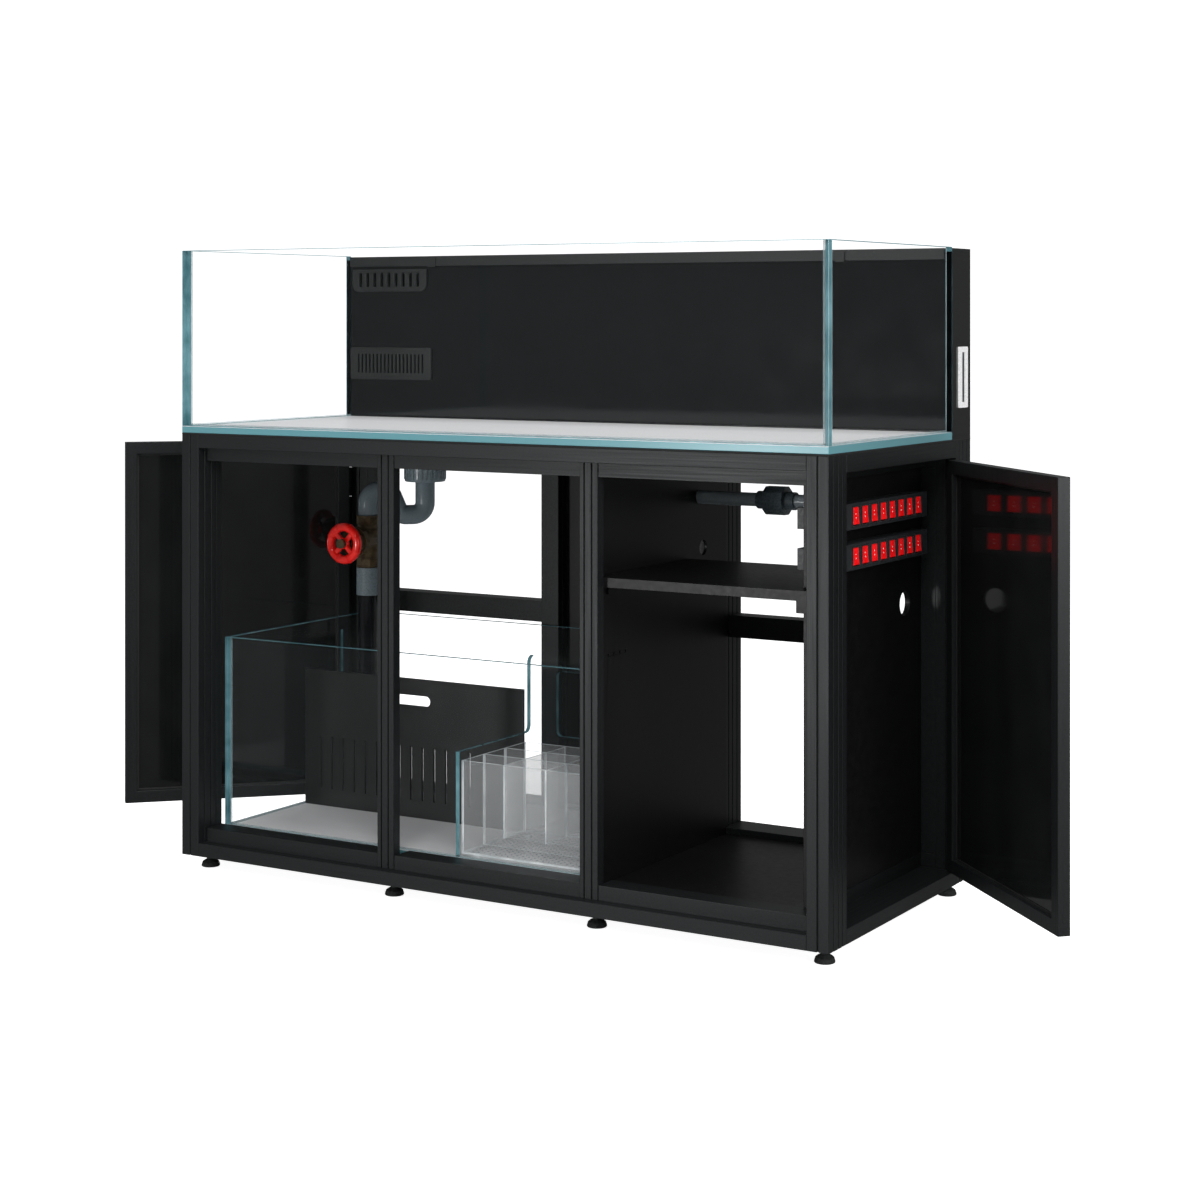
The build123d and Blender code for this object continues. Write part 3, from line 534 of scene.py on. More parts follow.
def repeat_on_points_tree():
    """Puts a copy of an object at each point, turned so that its Z follows the point's facing."""
    tree, entry = new_tree("copies_on_points", {"Copied": "NodeSocketObject", "Finish": "NodeSocketMaterial"})
    facing = add_node(
        tree, "GeometryNodeInputNamedAttribute", {"data_type": "FLOAT_VECTOR"}, {"Name": "facing"}
    )
    turn = add_node(
        tree, "FunctionNodeAlignEulerToVector", {"axis": "Z"}, links={"Vector": facing.outputs[0]}
    )
    copied = add_node(tree, "GeometryNodeObjectInfo", links={"Object": entry.outputs["Copied"]})
    return close_tree(tree, entry, entry.outputs["Geometry"], copied.outputs["Geometry"], turn)


def ring_tree():
    """Sets bars round a circle about Z, as the grip ribs of a collar."""
    inputs = {
        "Radius": "NodeSocketFloat", "Count": "NodeSocketInt", "Bar": "NodeSocketVector",
        "Finish": "NodeSocketMaterial",
    }
    tree, entry = new_tree("bars_round_a_circle", inputs)
    circle = add_node(
        tree, "GeometryNodeMeshCircle",
        links={"Vertices": entry.outputs["Count"], "Radius": entry.outputs["Radius"]},
    )
    place = add_node(tree, "GeometryNodeInputPosition")
    turn = add_node(
        tree, "FunctionNodeAlignEulerToVector", {"axis": "X"}, links={"Vector": place.outputs[0]}
    )
    bar = add_node(tree, "GeometryNodeMeshCube", links={"Size": entry.outputs["Bar"]})
    return close_tree(tree, entry, circle.outputs["Mesh"], bar.outputs["Mesh"], turn)


def grid_tree():
    """Sets short tubes, the rims of drilled holes, over a level grid."""
    inputs = {
        "Width": "NodeSocketFloat", "Depth": "NodeSocketFloat", "Columns": "NodeSocketInt",
        "Rows": "NodeSocketInt", "Hole": "NodeSocketFloat", "Finish": "NodeSocketMaterial",
    }
    tree, entry = new_tree("rims_of_drilled_holes", inputs)
    grid = add_node(
        tree, "GeometryNodeMeshGrid",
        links={"Size X": entry.outputs["Width"], "Size Y": entry.outputs["Depth"],
               "Vertices X": entry.outputs["Columns"], "Vertices Y": entry.outputs["Rows"]},
    )
    path = add_node(
        tree, "GeometryNodeCurvePrimitiveCircle", values={"Resolution": 8},
        links={"Radius": entry.outputs["Hole"]},
    )
    section = add_node(
        tree, "GeometryNodeCurvePrimitiveCircle", values={"Resolution": 4, "Radius": 0.45 * MM}
    )
    rim = add_node(
        tree, "GeometryNodeCurveToMesh",
        links={"Curve": path.outputs["Curve"], "Profile Curve": section.outputs["Curve"]},
    )
    return close_tree(tree, entry, grid.outputs["Mesh"], rim.outputs["Mesh"])


def points_mesh(name, places, facings):
    """Loose points with a facing each."""
    mesh = bpy.data.meshes.new(name)
    mesh.from_pydata([tuple(p) for p in places], [], [])
    facing = mesh.attributes.new("facing", "FLOAT_VECTOR", "POINT")
    facing.data.foreach_set("vector", [value for f in facings for value in f])
    return mesh


def copies(name, original, places, facings, body, slot):
    """Copies of a small mesh at the given points, as one piece in the finish of its slot."""
    pattern = bpy.data.objects.new(name + "_pattern", original)
    bpy.context.scene.collection.objects.link(pattern)
    values = {"Copied": pattern, "Finish": FINISHES[slot]}
    made = run_tree(name, repeat_on_points_tree(), points_mesh(name, places, facings), values)
    bpy.data.objects.remove(pattern)
    return new_piece(name, made, body, None)


def button_screw():
    """A button-head screw with a hexagon recess, its seat at the origin and its head along Z."""
    builder = bmesh.new()
    dome = [(4.4 * math.cos(a), 0.3 + 2.0 * math.sin(a)) for a in (0, 0.35, 0.7, 1.0)]
    profile = [(0, 0), (4.4, 0)] + dome + [(2.0, 2.1), (1.9, 0.9), (0, 0.8)]
    lathe(builder, in_mm(profile), (0, 0, 0), steps=12)
    return to_mesh("button_screw", builder, smooth=True)


# ---------------------------------------------------------------- sizes and finishes that a user changes
class AquariumStandSettings(bpy.types.PropertyGroup):
    """Sizes of the stand's fine details."""

    edge_break: FloatProperty(
        name="Edge break", description="Rounding of the aluminium bars' edges", default=0.8, min=0.1, max=2.0
    )
    seal_width: FloatProperty(
        name="Door seal width", description="Width of the soft seal inside each door frame", default=4 * MM,
        unit="LENGTH",
    )


class AquariumGlassSettings(bpy.types.PropertyGroup):
    """Sizes of the panes and their sealant."""

    tank_glass: FloatProperty(
        name="Tank glass", description="Thickness of the display tank's panes", default=12 * MM, unit="LENGTH"
    )
    sump_glass: FloatProperty(
        name="Sump glass", description="Thickness of the sump's panes", default=8 * MM, unit="LENGTH"
    )
    sealant: FloatProperty(
        name="Sealant", description="Width of a sealant bead", default=4 * MM, unit="LENGTH"
    )


class AquariumPlumbingSettings(bpy.types.PropertyGroup):
    """Sizes of the valve, the wheel and the collars."""

    wheel_ribs: IntProperty(
        name="Wheel ribs", description="Ribs round the handwheel's rim", default=8, min=4
    )
    collar_ribs: IntProperty(
        name="Collar ribs", description="Grip ribs round the drain collar", default=28, min=8
    )


class AquariumStageSettings(bpy.types.PropertyGroup):
    """The floor, the lights and the camera."""

    floor_colour: FloatVectorProperty(
        name="Floor", description="Colour of the studio floor", subtype="COLOR", default=(0.86, 0.86, 0.86)
    )
    camera_place: FloatVectorProperty(
        name="Camera", description="Where the camera stands", subtype="TRANSLATION", size=3,
        default=(2.27219, -3.67985, 1.05117),
    )
    camera_turn: FloatProperty(
        name="Camera turn", description="The level camera's turn about the vertical", subtype="ANGLE",
        default=math.radians(30.908),
    )
    lens: FloatProperty(name="Lens", description="Focal length in millimetres", default=69.83)
    rise: FloatProperty(name="Vertical shift", description="Vertical shift of the lens", default=-0.238)


# ---------------------------------------------------------------- the stand
class AQUARIUM_OT_stand_frame(bpy.types.Operator):
    """Finish the aluminium bars: anodised skin, broken edges and joint screws"""

    bl_idname = "aquarium.stand_frame"
    bl_label = "Stand Frame"

    def execute(self, context):
        bars = ("corner_posts", "inner_posts", "front_rails", "side_rails", "rear_rails", "cross_bars")
        paint_nodes(*bars)
        for axis, names in (("x", ("front_rails", "rear_rails")), ("y", ("side_rails", "cross_bars"))):
            for name in names:
                NODES[name].data.materials[0] = FINISHES[f"black_anodised_{axis}"]
        soften_edges(context.scene.aquarium_stand.edge_break, *bars)
        low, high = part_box("corner_posts")
        bracket_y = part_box("rear_rails")[0].y + 52 * MM
        in_x, in_z, sunk = 20 * MM, 25 * MM, 2.2 * MM
        places = [(side * BRACKET_SCREW_X, bracket_y, z) for side in (-1, 1) for z in BRACKET_SCREW_Z]
        for x in (low.x + in_x, high.x - in_x):
            places += [(x, high.y - sunk, z) for z in (low.z + in_z, high.z - in_z)]
        copies("frame_screws", button_screw(), places, [Y_AXIS] * len(places), "stand", "hinge_steel")
        return {"FINISHED"}


class AQUARIUM_OT_boards(bpy.types.Operator):
    """Finish the boards inside the stand"""

    bl_idname = "aquarium.boards"
    bl_label = "Boards"

    def execute(self, context):
        boards = ("floor_boards", "divider_board", "side_board", "shelf", "rear_board", "deck_board")
        paint_nodes(*boards, "foam_mat")
        soften_edges(0.5, "floor_boards", "divider_board", "side_board", "shelf", "rear_board")
        return {"FINISHED"}


def foot_mesh():
    """A levelling foot: ribbed rubber base, ball neck, threaded stud and lock nut, standing on Z 0."""
    builder = bmesh.new()
    base = [
        (0, 0), (16.2, 0), (17.4, 1.2), (17.4, 3.2), (16.6, 4.2), (16.9, 5.2), (15.6, 7.6), (15.9, 8.4),
        (12.4, 11.4), (8.6, 13.4), (7.2, 14.4), (7.0, 17.5), (5.6, 19.0), (0, 19.0),
    ]
    lathe(builder, in_mm(base), (0, 0, 0), steps=40)
    hexagon(builder, 8.4 * MM, 5 * MM, (0, 0, 20.5 * MM), edge_mm=0.5)
    turns = [(3.6 + 0.5 * (i % 2), 18.5 + 0.5 * i) for i in range(20)]
    stud = [(0, 18.5)] + turns + [(0, turns[-1][1])]
    lathe(builder, in_mm(stud), (0, 0, 0), steps=20)
    return to_mesh("levelling_foot", builder, smooth=True)


class AQUARIUM_OT_feet(bpy.types.Operator):
    """Build the levelling feet in place of the plain ones"""

    bl_idname = "aquarium.feet"
    bl_label = "Levelling Feet"

    def execute(self, context):
        low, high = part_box("levelling_feet")
        radius = 17.5 * MM
        columns = (low.x + radius, -INNER_FOOT_X, INNER_FOOT_X, high.x - radius)
        places = [(x, y, 0) for x in columns for y in (low.y + radius, high.y - radius)]
        feet = copies("threaded_feet", foot_mesh(), places, [Z_AXIS] * len(places), "stand", "foot_rubber")
        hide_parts("levelling_feet")
        return {"FINISHED"}


def door_frame_turn(side):
    """Places a door's own frame: X runs from the pivot along the shut door, Y outwards, Z up."""
    pivot = Vector((side * DOOR_PIVOT[0], DOOR_PIVOT[1], 0))
    sine, cosine = math.sin(DOOR_REST_TURN), math.cos(DOOR_REST_TURN)
    along, outwards = Vector((side * sine, -cosine, 0)), Vector((side * cosine, sine, 0))
    columns = Matrix((along, outwards, Z_AXIS)).transposed().to_4x4()
    return Matrix.Translation(pivot) @ columns


class AQUARIUM_OT_doors(bpy.types.Operator):
    """Finish the two side doors: gloss boards, soft seals and hinge leaves"""

    bl_idname = "aquarium.doors"
    bl_label = "Doors"

    def execute(self, context):
        seal, proud = context.scene.aquarium_stand.seal_width, 1.5 * MM
        for name, side in (("left_door", -1), ("right_door", 1)):
            paint_nodes(f"{name}_frame", f"{name}_board", f"{name}_leaves")
            soften_edges(0.8, f"{name}_frame")
            soften_edges(0.3, f"{name}_leaves")
            board_low, board_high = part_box(f"{name}_board")
            turn = door_frame_turn(side)
            to_own = turn.inverted()
            points = [to_own @ vertex.co for vertex in NODES[f"{name}_board"].data.vertices]
            x0, x1 = min(p.x for p in points), max(p.x for p in points)
            y0, y1 = min(p.y for p in points), max(p.y for p in points)
            z0, z1 = board_low.z, board_high.z
            strips = (
                (x0, x1, z0, z0 + seal), (x0, x1, z1 - seal, z1),
                (x0, x0 + seal, z0 + seal, z1 - seal), (x1 - seal, x1, z0 + seal, z1 - seal),
            )
            builder = bmesh.new()
            for a, b, c, d in strips:
                for near, far in ((y0 - proud, y0), (y1, y1 + proud)):
                    block(builder, (a, near, c), (b, far, d), 0.5, turn=turn)
            new_piece(f"{name}_seal", to_mesh("seal", builder), name, ("seal_rubber",))
        paint_nodes("hinge_leaves")
        soften_edges(0.3, "hinge_leaves")
        self.bulb_seals()
        return {"FINISHED"}

    def bulb_seals(self):
        """A soft tube down each hinge line, clear of the hinges, closes the gap beside the post."""
        frame_low, frame_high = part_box("left_door_frame")
        hinge_low, hinge_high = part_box("left_door_leaves")
        knuckle = 61 * MM
        end, full = 4.4 * MM, 5.2 * MM
        spans = (
            (frame_low.z + 2 * MM, hinge_low.z - 1 * MM),
            (hinge_low.z + knuckle, hinge_high.z - knuckle),
            (hinge_high.z + 1 * MM, frame_high.z - 2 * MM),
        )
        builder = bmesh.new()
        for joint in frame["joints"]:
            if "door" not in joint["name"]:
                continue
            x, y, _ = joint["pos_m"]
            for z0, z1 in spans:
                tube = [(0, z0), (end, z0), (full, z0 + 1 * MM), (full, z1 - 1 * MM), (end, z1), (0, z1)]
                lathe(builder, tube, (x, y, 0), steps=20)
        mesh = to_mesh("bulb_seals", builder, smooth=True)
        new_piece("door_bulb_seals", mesh, "stand", ("seal_rubber",))


# ---------------------------------------------------------------- the display tank
class AQUARIUM_OT_display_tank(bpy.types.Operator):
    """Build the display tank's panes, sealant and base"""

    bl_idname = "aquarium.display_tank"
    bl_label = "Display Tank"

    def execute(self, context):
        glass = context.scene.aquarium_glass.tank_glass
        bead_size = context.scene.aquarium_glass.sealant
        low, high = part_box("tank_panes")
        builder = bmesh.new()
        pane(builder, low, (high.x, low.y + glass, high.z))
        pane(builder, (low.x, low.y + glass, low.z), (low.x + glass, high.y, high.z))
        pane(builder, (high.x - glass, low.y + glass, low.z), (high.x, high.y, high.z))
        panes = new_piece("tank_glass_panes", to_mesh("panes", builder), "stand", GLASS)
        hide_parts("tank_panes")
        paint_nodes("tank_base")
        soften_edges(0.7, "tank_base")
        builder = bmesh.new()
        x0, x1, y0, y1, z = low.x + glass, high.x - glass, low.y + glass, high.y, low.z
        bead(builder, (x0, y0, z), (x1, y0, z), Y_AXIS, Z_AXIS, bead_size)
        bead(builder, (x0, y0, z), (x0, y1, z), X_AXIS, Z_AXIS, bead_size)
        bead(builder, (x1, y0, z), (x1, y1, z), -X_AXIS, Z_AXIS, bead_size)
        for x, inwards in ((x0, X_AXIS), (x1, -X_AXIS)):
            bead(builder, (x, y0, z), (x, y0, high.z), inwards, Y_AXIS, bead_size)
        new_piece("tank_sealant", to_mesh("sealant", builder), "stand", ("clear_silicone",))
        builder = bmesh.new()
        bead(builder, (x0, y1, z), (x1, y1, z), -Y_AXIS, Z_AXIS, bead_size)
        mesh = to_mesh("sealant", builder)
        new_piece("overflow_sealant", mesh, "stand", ("black_silicone",))
        return {"FINISHED"}


class AQUARIUM_OT_overflow(bpy.types.Operator):
    """Finish the overflow box, its lid, comb, grille and side frame"""

    bl_idname = "aquarium.overflow"
    bl_label = "Overflow Box"

    def execute(self, context):
        charcoal = ("weir_comb", "intake_grille", "overflow_lid")
        paint_nodes("overflow_wall", "overflow_box", "side_frame", *charcoal)
        soften_edges(0.5, "overflow_lid", "side_frame", "overflow_box")
        soften_edges(0.6, "weir_comb", "intake_grille")
        for name in charcoal:
            NODES[name].data.materials[0] = FINISHES["grille_black"]
        low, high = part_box("side_frame")
        middle = (low.y + high.y) / 2
        plates = (
            (low.x, low.x + 1 * MM, low.y + 13 * MM, high.y - 13 * MM, 10 * MM, 0.2),
            (low.x + 1 * MM, low.x + 2.2 * MM, middle - 2 * MM, middle + 2 * MM, 20 * MM, 0.4),
        )
        builder = bmesh.new()
        for x0, x1, y0, y1, inset, edge_mm in plates:
            block(builder, (x0, y0, low.z + inset), (x1, y1, high.z - inset), edge_mm)
        mesh = to_mesh("insert", builder)
        new_piece("side_frame_insert", mesh, "stand", ("switch_black",))
        end, width, proud, sunk = 12 * MM, 5 * MM, 1.2 * MM, 0.4 * MM
        for name, body, drop in (("weir_comb", "comb", 1 * MM), ("intake_grille", "stand", 0)):
            low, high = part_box(name)
            top = high.z - drop
            builder = bmesh.new()
            for z0, z1 in ((low.z + 2 * MM, low.z + width + 1 * MM), (top - width, top - 1 * MM)):
                block(builder, (low.x + end, low.y - proud, z0), (high.x - end, low.y + sunk, z1), 0.5)
            new_piece(f"{name}_rims", to_mesh("rims", builder), body, ("grille_black",))
        return {"FINISHED"}


# ---------------------------------------------------------------- the sump
class AQUARIUM_OT_sump(bpy.types.Operator):
    """Build the sump's panes, baffles, sealant and slotted panel"""

    bl_idname = "aquarium.sump"
    bl_label = "Sump"

    def execute(self, context):
        glass = context.scene.aquarium_glass.sump_glass
        low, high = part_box("sump_walls")
        builder = bmesh.new()
        for y in (low.y, high.y - glass):
            pane(builder, (low.x, y, low.z), (high.x, y + glass, high.z), 0.6)
        for x in (low.x, high.x - glass):
            pane(builder, (x, low.y + glass, low.z), (x + glass, high.y - glass, high.z), 0.6)
        panes = new_piece("sump_glass_panes", to_mesh("panes", builder), "stand", GLASS)
        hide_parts("sump_walls")
        self.baffles()
        paint_nodes("sump_base", "slotted_panel")
        NODES["slotted_panel"].data.materials[0] = FINISHES["satin_acrylic"]
        soften_edges(0.5, "slotted_panel", "sump_base")
        builder = bmesh.new()
        size = context.scene.aquarium_glass.sealant
        x0, x1, y0, y1, z = low.x + glass, high.x - glass, low.y + glass, high.y - glass, low.z
        for y, inwards in ((y0, Y_AXIS), (y1, -Y_AXIS)):
            bead(builder, (x0, y, z), (x1, y, z), inwards, Z_AXIS, size)
            bead(builder, (x0, y, z), (x0, y, high.z), inwards, X_AXIS, size)
            bead(builder, (x1, y, z), (x1, y, high.z), inwards, -X_AXIS, size)
        for x, inwards in ((x0, X_AXIS), (x1, -X_AXIS)):
            bead(builder, (x, y0, z), (x, y1, z), inwards, Z_AXIS, size)
        new_piece("sump_sealant", to_mesh("sealant", builder), "stand", ("clear_silicone",))
        return {"FINISHED"}

    def baffles(self):
        """The baffles keep their CAD shape, with clear faces and tinted edges."""
        builder = bmesh.new()
        builder.from_mesh(NODES["sump_baffles"].data)
        bmesh.ops.remove_doubles(builder, verts=builder.verts, dist=WELD)
        bmesh.ops.dissolve_limit(builder, angle_limit=0.01, verts=builder.verts, edges=builder.edges)
        widest_edge = 30 * MM
        for face in builder.faces:
            size = [max(v.co[i] for v in face.verts) - min(v.co[i] for v in face.verts) for i in range(3)]
            face.material_index = 0 if sorted(size)[1] > widest_edge else 1
        mesh = bpy.data.meshes.new("baffles")
        builder.to_mesh(mesh)
        builder.free()
        piece = new_piece("sump_glass_baffles", mesh, "stand", GLASS)
        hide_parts("sump_baffles")


class AQUARIUM_OT_media_rack(bpy.types.Operator):
    """Build the clear media rack: plates, hanging partitions and a drilled floor"""

    bl_idname = "aquarium.media_rack"
    bl_label = "Media Rack"

    def execute(self, context):
        low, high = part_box("media_rack")
        plate, foot_height, flow_gap, rim = 3 * MM, 6 * MM, 34 * MM, 30 * MM
        floor_z = low.z + foot_height
        builder = bmesh.new()
        cells = 3
        pitch_x, pitch_y = (high.x - low.x - plate) / cells, (high.y - low.y - plate) / cells
        for index in range(cells + 1):
            y = low.y + index * pitch_y
            pane(builder, (low.x, y, floor_z + plate), (high.x, y + plate, high.z), 0.4)
        for x in (low.x, high.x - plate):
            for row in range(cells):
                y = low.y + row * pitch_y + plate
                pane(builder, (x, y, floor_z + plate), (x + plate, y + pitch_y - plate, high.z), 0.4)
        pane(builder, (low.x, low.y, floor_z), (high.x, high.y, floor_z + plate), 0.4)
        inset, foot = 20 * MM, in_mm([(0, 0), (5.6, 0), (6, 0.5), (6, 6), (0, 6)])
        for x in (low.x + inset, high.x - inset):
            for y in (low.y + inset, high.y - inset):
                lathe(builder, foot, (x, y, low.z), steps=24, index=1)
        rack = new_piece(
            "clear_rack_plates", to_mesh("rack", builder), "rack",
            ("clear_acrylic", "acrylic_edge"),
        )
        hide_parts("media_rack")
        builder = bmesh.new()
        for column in range(1, cells):
            x = low.x + column * pitch_x
            for row in range(cells):
                y = low.y + row * pitch_y + plate
                hanging = (x, y, floor_z + plate + flow_gap)
                pane(builder, hanging, (x + plate, y + pitch_y - plate, high.z - 1 * MM), 0.4)
        new_piece(
            "hanging_partitions", to_mesh("partitions", builder), "rack",
            ("hazed_acrylic", "acrylic_edge"),
        )
        values = {
            "Width": high.x - low.x - rim, "Depth": high.y - low.y - rim, "Columns": 20, "Rows": 16,
            "Hole": 1.3 * MM, "Finish": FINISHES["fitting_grey"],
        }
        holes = run_tree("rack_floor_holes", grid_tree(), single_point("rack_holes"), values)
        centre = Vector(((low.x + high.x) / 2, (low.y + high.y) / 2, floor_z + plate + 0.2 * MM))
        holes.transform(Matrix.Translation(centre))
        new_piece("rack_floor_holes", holes, "rack", None)
        return {"FINISHED"}


# ---------------------------------------------------------------- plumbing
class AQUARIUM_OT_pipes(bpy.types.Operator):
    """Finish the pipes and add ribbed collars and a rimmed socket sleeve"""

    bl_idname = "aquarium.pipes"
    bl_label = "Pipes"

    def execute(self, context):
        pipes = ("pipe_fittings", "drain_pipe", "down_pipe", "return_pipe")
        paint_nodes(*pipes)
        soften_edges(0.6, *pipes)
        # the return pipe takes the paler copy of grey PVC: painted light for the shade under the deck
        own = {"pipe_fittings": "fitting_grey", "down_pipe": "black_pvc", "return_pipe": "grey_pvc_painted_lit"}
        for name, finish in own.items():
            NODES[name].data.materials[0] = FINISHES[finish]
        ribs = context.scene.aquarium_plumbing.collar_ribs
        made = bmesh.new()
        for x, radius, count in ((DRAIN_COLLAR_X, 42 * MM, ribs), (RETURN_COLLAR_X, 24 * MM, ribs // 2)):
            values = {
                "Radius": radius, "Count": count, "Bar": (2.6 * MM, 3.2 * MM, 50 * MM),
                "Finish": FINISHES["fitting_grey"],
            }
            ring = run_tree("collar_ribs", ring_tree(), single_point("collar_seed"), values)
            ring.transform(Matrix.Translation((x, COLLAR_Y, COLLAR_Z)))
            made.from_mesh(ring)
        new_piece("collar_ribs", to_mesh("collar_ribs", made), "stand", ("fitting_grey",))
        builder = bmesh.new()
        pipe_low, pipe_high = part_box("down_pipe")
        socket = ((pipe_low.x + pipe_high.x) / 2, (pipe_low.y + pipe_high.y) / 2, SOCKET_Z)
        sleeve = [(20.1, -28), (23, -28), (23.6, -27.2), (23.6, 27.2), (23, 28), (20.1, 28)]
        lathe(builder, in_mm(sleeve, closed=True), socket)
        mesh = to_mesh("sleeve", builder, smooth=True)
        new_piece("socket_sleeve", mesh, "stand", ("fitting_grey",))
        return {"FINISHED"}


class AQUARIUM_OT_valve(bpy.types.Operator):
    """Finish the bronze valve and build its ribbed red handwheel"""

    bl_idname = "aquarium.valve"
    bl_label = "Gate Valve"

    def execute(self, context):
        paint_nodes("valve_body", "valve_gate", "valve_stem")
        soften_edges(0.8, "valve_body", "valve_stem")
        low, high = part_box("handwheel")
        centre = (low + high) / 2
        tube, rib_height = 8.6 * MM, 0.9 * MM
        rim_radius = (high.x - low.x) / 2 - tube - rib_height
        ribs = context.scene.aquarium_plumbing.wheel_ribs
        around = 28
        angles = [2 * math.pi * i / around for i in range(around + 1)]
        builder = bmesh.new()
        rim = [(rim_radius + tube * math.cos(a), tube * math.sin(a)) for a in angles]
        lathe(builder, rim, centre, -Y_AXIS, steps=96)
        bmesh.ops.remove_doubles(builder, verts=builder.verts, dist=1e-6)
        hub = [(4.6, -5), (10.0, -5), (11.0, -3.8), (11.0, 4.2), (10.0, 5.6), (4.6, 5.6)]
        lathe(builder, in_mm(hub, closed=True), centre, -Y_AXIS, steps=40)
        quarter_turns = [math.radians(45 + 90 * index) for index in range(4)]
        for angle in quarter_turns:
            turn = Matrix.Translation(centre) @ Matrix.Rotation(angle, 4, "Y")
            block(builder, (8 * MM, -4.5 * MM, -5 * MM), (rim_radius, 3.5 * MM, 5 * MM), 2.2, turn=turn)
        foot, crest = tube - 0.5 * MM, tube + rib_height
        rib = [(foot, -1.8 * MM), (crest, -0.8 * MM), (crest, 0.8 * MM), (foot, 1.8 * MM)]
        for index in range(ribs):
            angle = math.radians(22.5 + index * 360 / ribs)
            place = centre + Vector((math.cos(angle), 0, math.sin(angle))) * rim_radius
            lathe(builder, rib + rib[:1], place, (-math.sin(angle), 0, math.cos(angle)), steps=24)
        mesh = to_mesh("wheel", builder, smooth=True)
        wheel = new_piece("ribbed_handwheel", mesh, "wheel", ("red_paint",))
        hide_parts("handwheel")
        builder = bmesh.new()
        body_low, body_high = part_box("valve_body")
        band = in_mm([(20.8, -2), (23.6, -1.6), (23.6, 1.6), (20.8, 2)], closed=True)
        for z in (body_low.z + 2 * MM, body_high.z - 2 * MM):
            lathe(builder, band, (centre.x, VALVE_PORT_Y, z), steps=40)
        hexagon(builder, 14 * MM, 7 * MM, (centre.x, VALVE_NUT_Y, centre.z), -Y_AXIS)
        bolt_circle = 27.5 * MM
        for angle in quarter_turns:
            x, z = centre.x + bolt_circle * math.cos(angle), centre.z + bolt_circle * math.sin(angle)
            hexagon(builder, 3.6 * MM, 4 * MM, (x, VALVE_BOLT_Y, z), -Y_AXIS, 0.4)
        mesh = to_mesh("trim", builder, smooth=True)
        new_piece("valve_trim", mesh, "stand", ("valve_bronze",))
        return {"FINISHED"}


# ---------------------------------------------------------------- switches
def rocker_mesh(centre, width, height):
    """A rocker with two dished halves, and the two small marks that show its on and off sides."""
    builder = bmesh.new()
    half, side = height / 2, width / 2
    face, crest, back = 9.2 * MM, 10.0 * MM, -7 * MM
    outline = [
        (back, 3 * MM - half), (face, 0.4 * MM - half), (crest, 1.2 * MM - half), (9.5 * MM, -half / 2),
        (face, 0), (9.5 * MM, half / 2), (crest, half - 1.2 * MM), (face, half - 0.4 * MM),
        (back, half - 3 * MM),
    ]
    bridge(builder, *([(x, y, z) for x, z in outline] for y in (-side, side)))
    break_edges(builder, 0.45)
    block(builder, (face, -0.35 * MM, half * 0.16), (9.9 * MM, 0.35 * MM, half * 0.3), 0.1, index=1)
    ring = in_mm([(0.7, 0), (1.2, 0), (1.2, 0.6), (0.7, 0.6)], closed=True)
    lathe(builder, ring, (9.1 * MM, 0, -half * 0.24), X_AXIS, 16, 1)
    mesh = to_mesh("rocker", builder)
    rest_tilt = Matrix.Rotation(math.radians(-4), 4, "Y")
    mesh.transform(Matrix.Translation(centre) @ rest_tilt)
    return mesh


class AQUARIUM_OT_switches(bpy.types.Operator):
    """Build the rockers and their bezels in place of the plain ones"""

    bl_idname = "aquarium.switches"
    bl_label = "Switches"

    def execute(self, context):
        paint_nodes("switch_box_upper", "switch_box_lower")
        soften_edges(0.6, "switch_box_upper", "switch_box_lower")
        face_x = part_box("switch_box_upper")[1].x
        places = []
        for joint in frame["joints"]:
            if not joint["name"].startswith(ROCKER_PREFIX):
                continue
            node = joint["name"].removesuffix("_tilt")
            centre = Vector(joint["pos_m"])
            low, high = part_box(node)
            mesh = rocker_mesh(centre, high.y - low.y - 1 * MM, 29.6 * MM)
            finishes = ("rocker_red", "print_white")
            piece = new_piece(f"{node}_cap", mesh, joint["child"], finishes)
            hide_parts(node)
            places.append(Vector((face_x, centre.y, centre.z)))
        builder = bmesh.new()
        width, height, rim, raised = 25.6 * MM, 35 * MM, 1.8 * MM, 1.6 * MM
        for z in (-height / 2, height / 2 - rim):
            block(builder, (-width / 2 - rim, z, 0), (width / 2 + rim, z + rim, raised), 0.4)
        for x in (-width / 2 - rim, width / 2):
            block(builder, (x, rim - height / 2, 0), (x + rim, height / 2 - rim, raised), 0.4)
        bezel = to_mesh("bezel", builder)
        bezel.transform(Matrix.Rotation(math.radians(90), 4, "Y") @ Matrix.Rotation(math.radians(90), 4, "Z"))
        copies("switch_bezels", bezel, places, [Z_AXIS] * len(places), "stand", "switch_black")
        return {"FINISHED"}


# ---------------------------------------------------------------- the stage
def area_light(name, place, target, size, power):
    """A soft square light aimed at a point."""
    light = bpy.data.lights.new(name, "AREA")
    light.shape = "SQUARE"
    light.size = size
    light.energy = power
    lamp = bpy.data.objects.new(name, light)
    bpy.context.scene.collection.objects.link(lamp)
    lamp.location = place
    lamp.rotation_euler = (Vector(target) - Vector(place)).to_track_quat("-Z", "Y").to_euler()


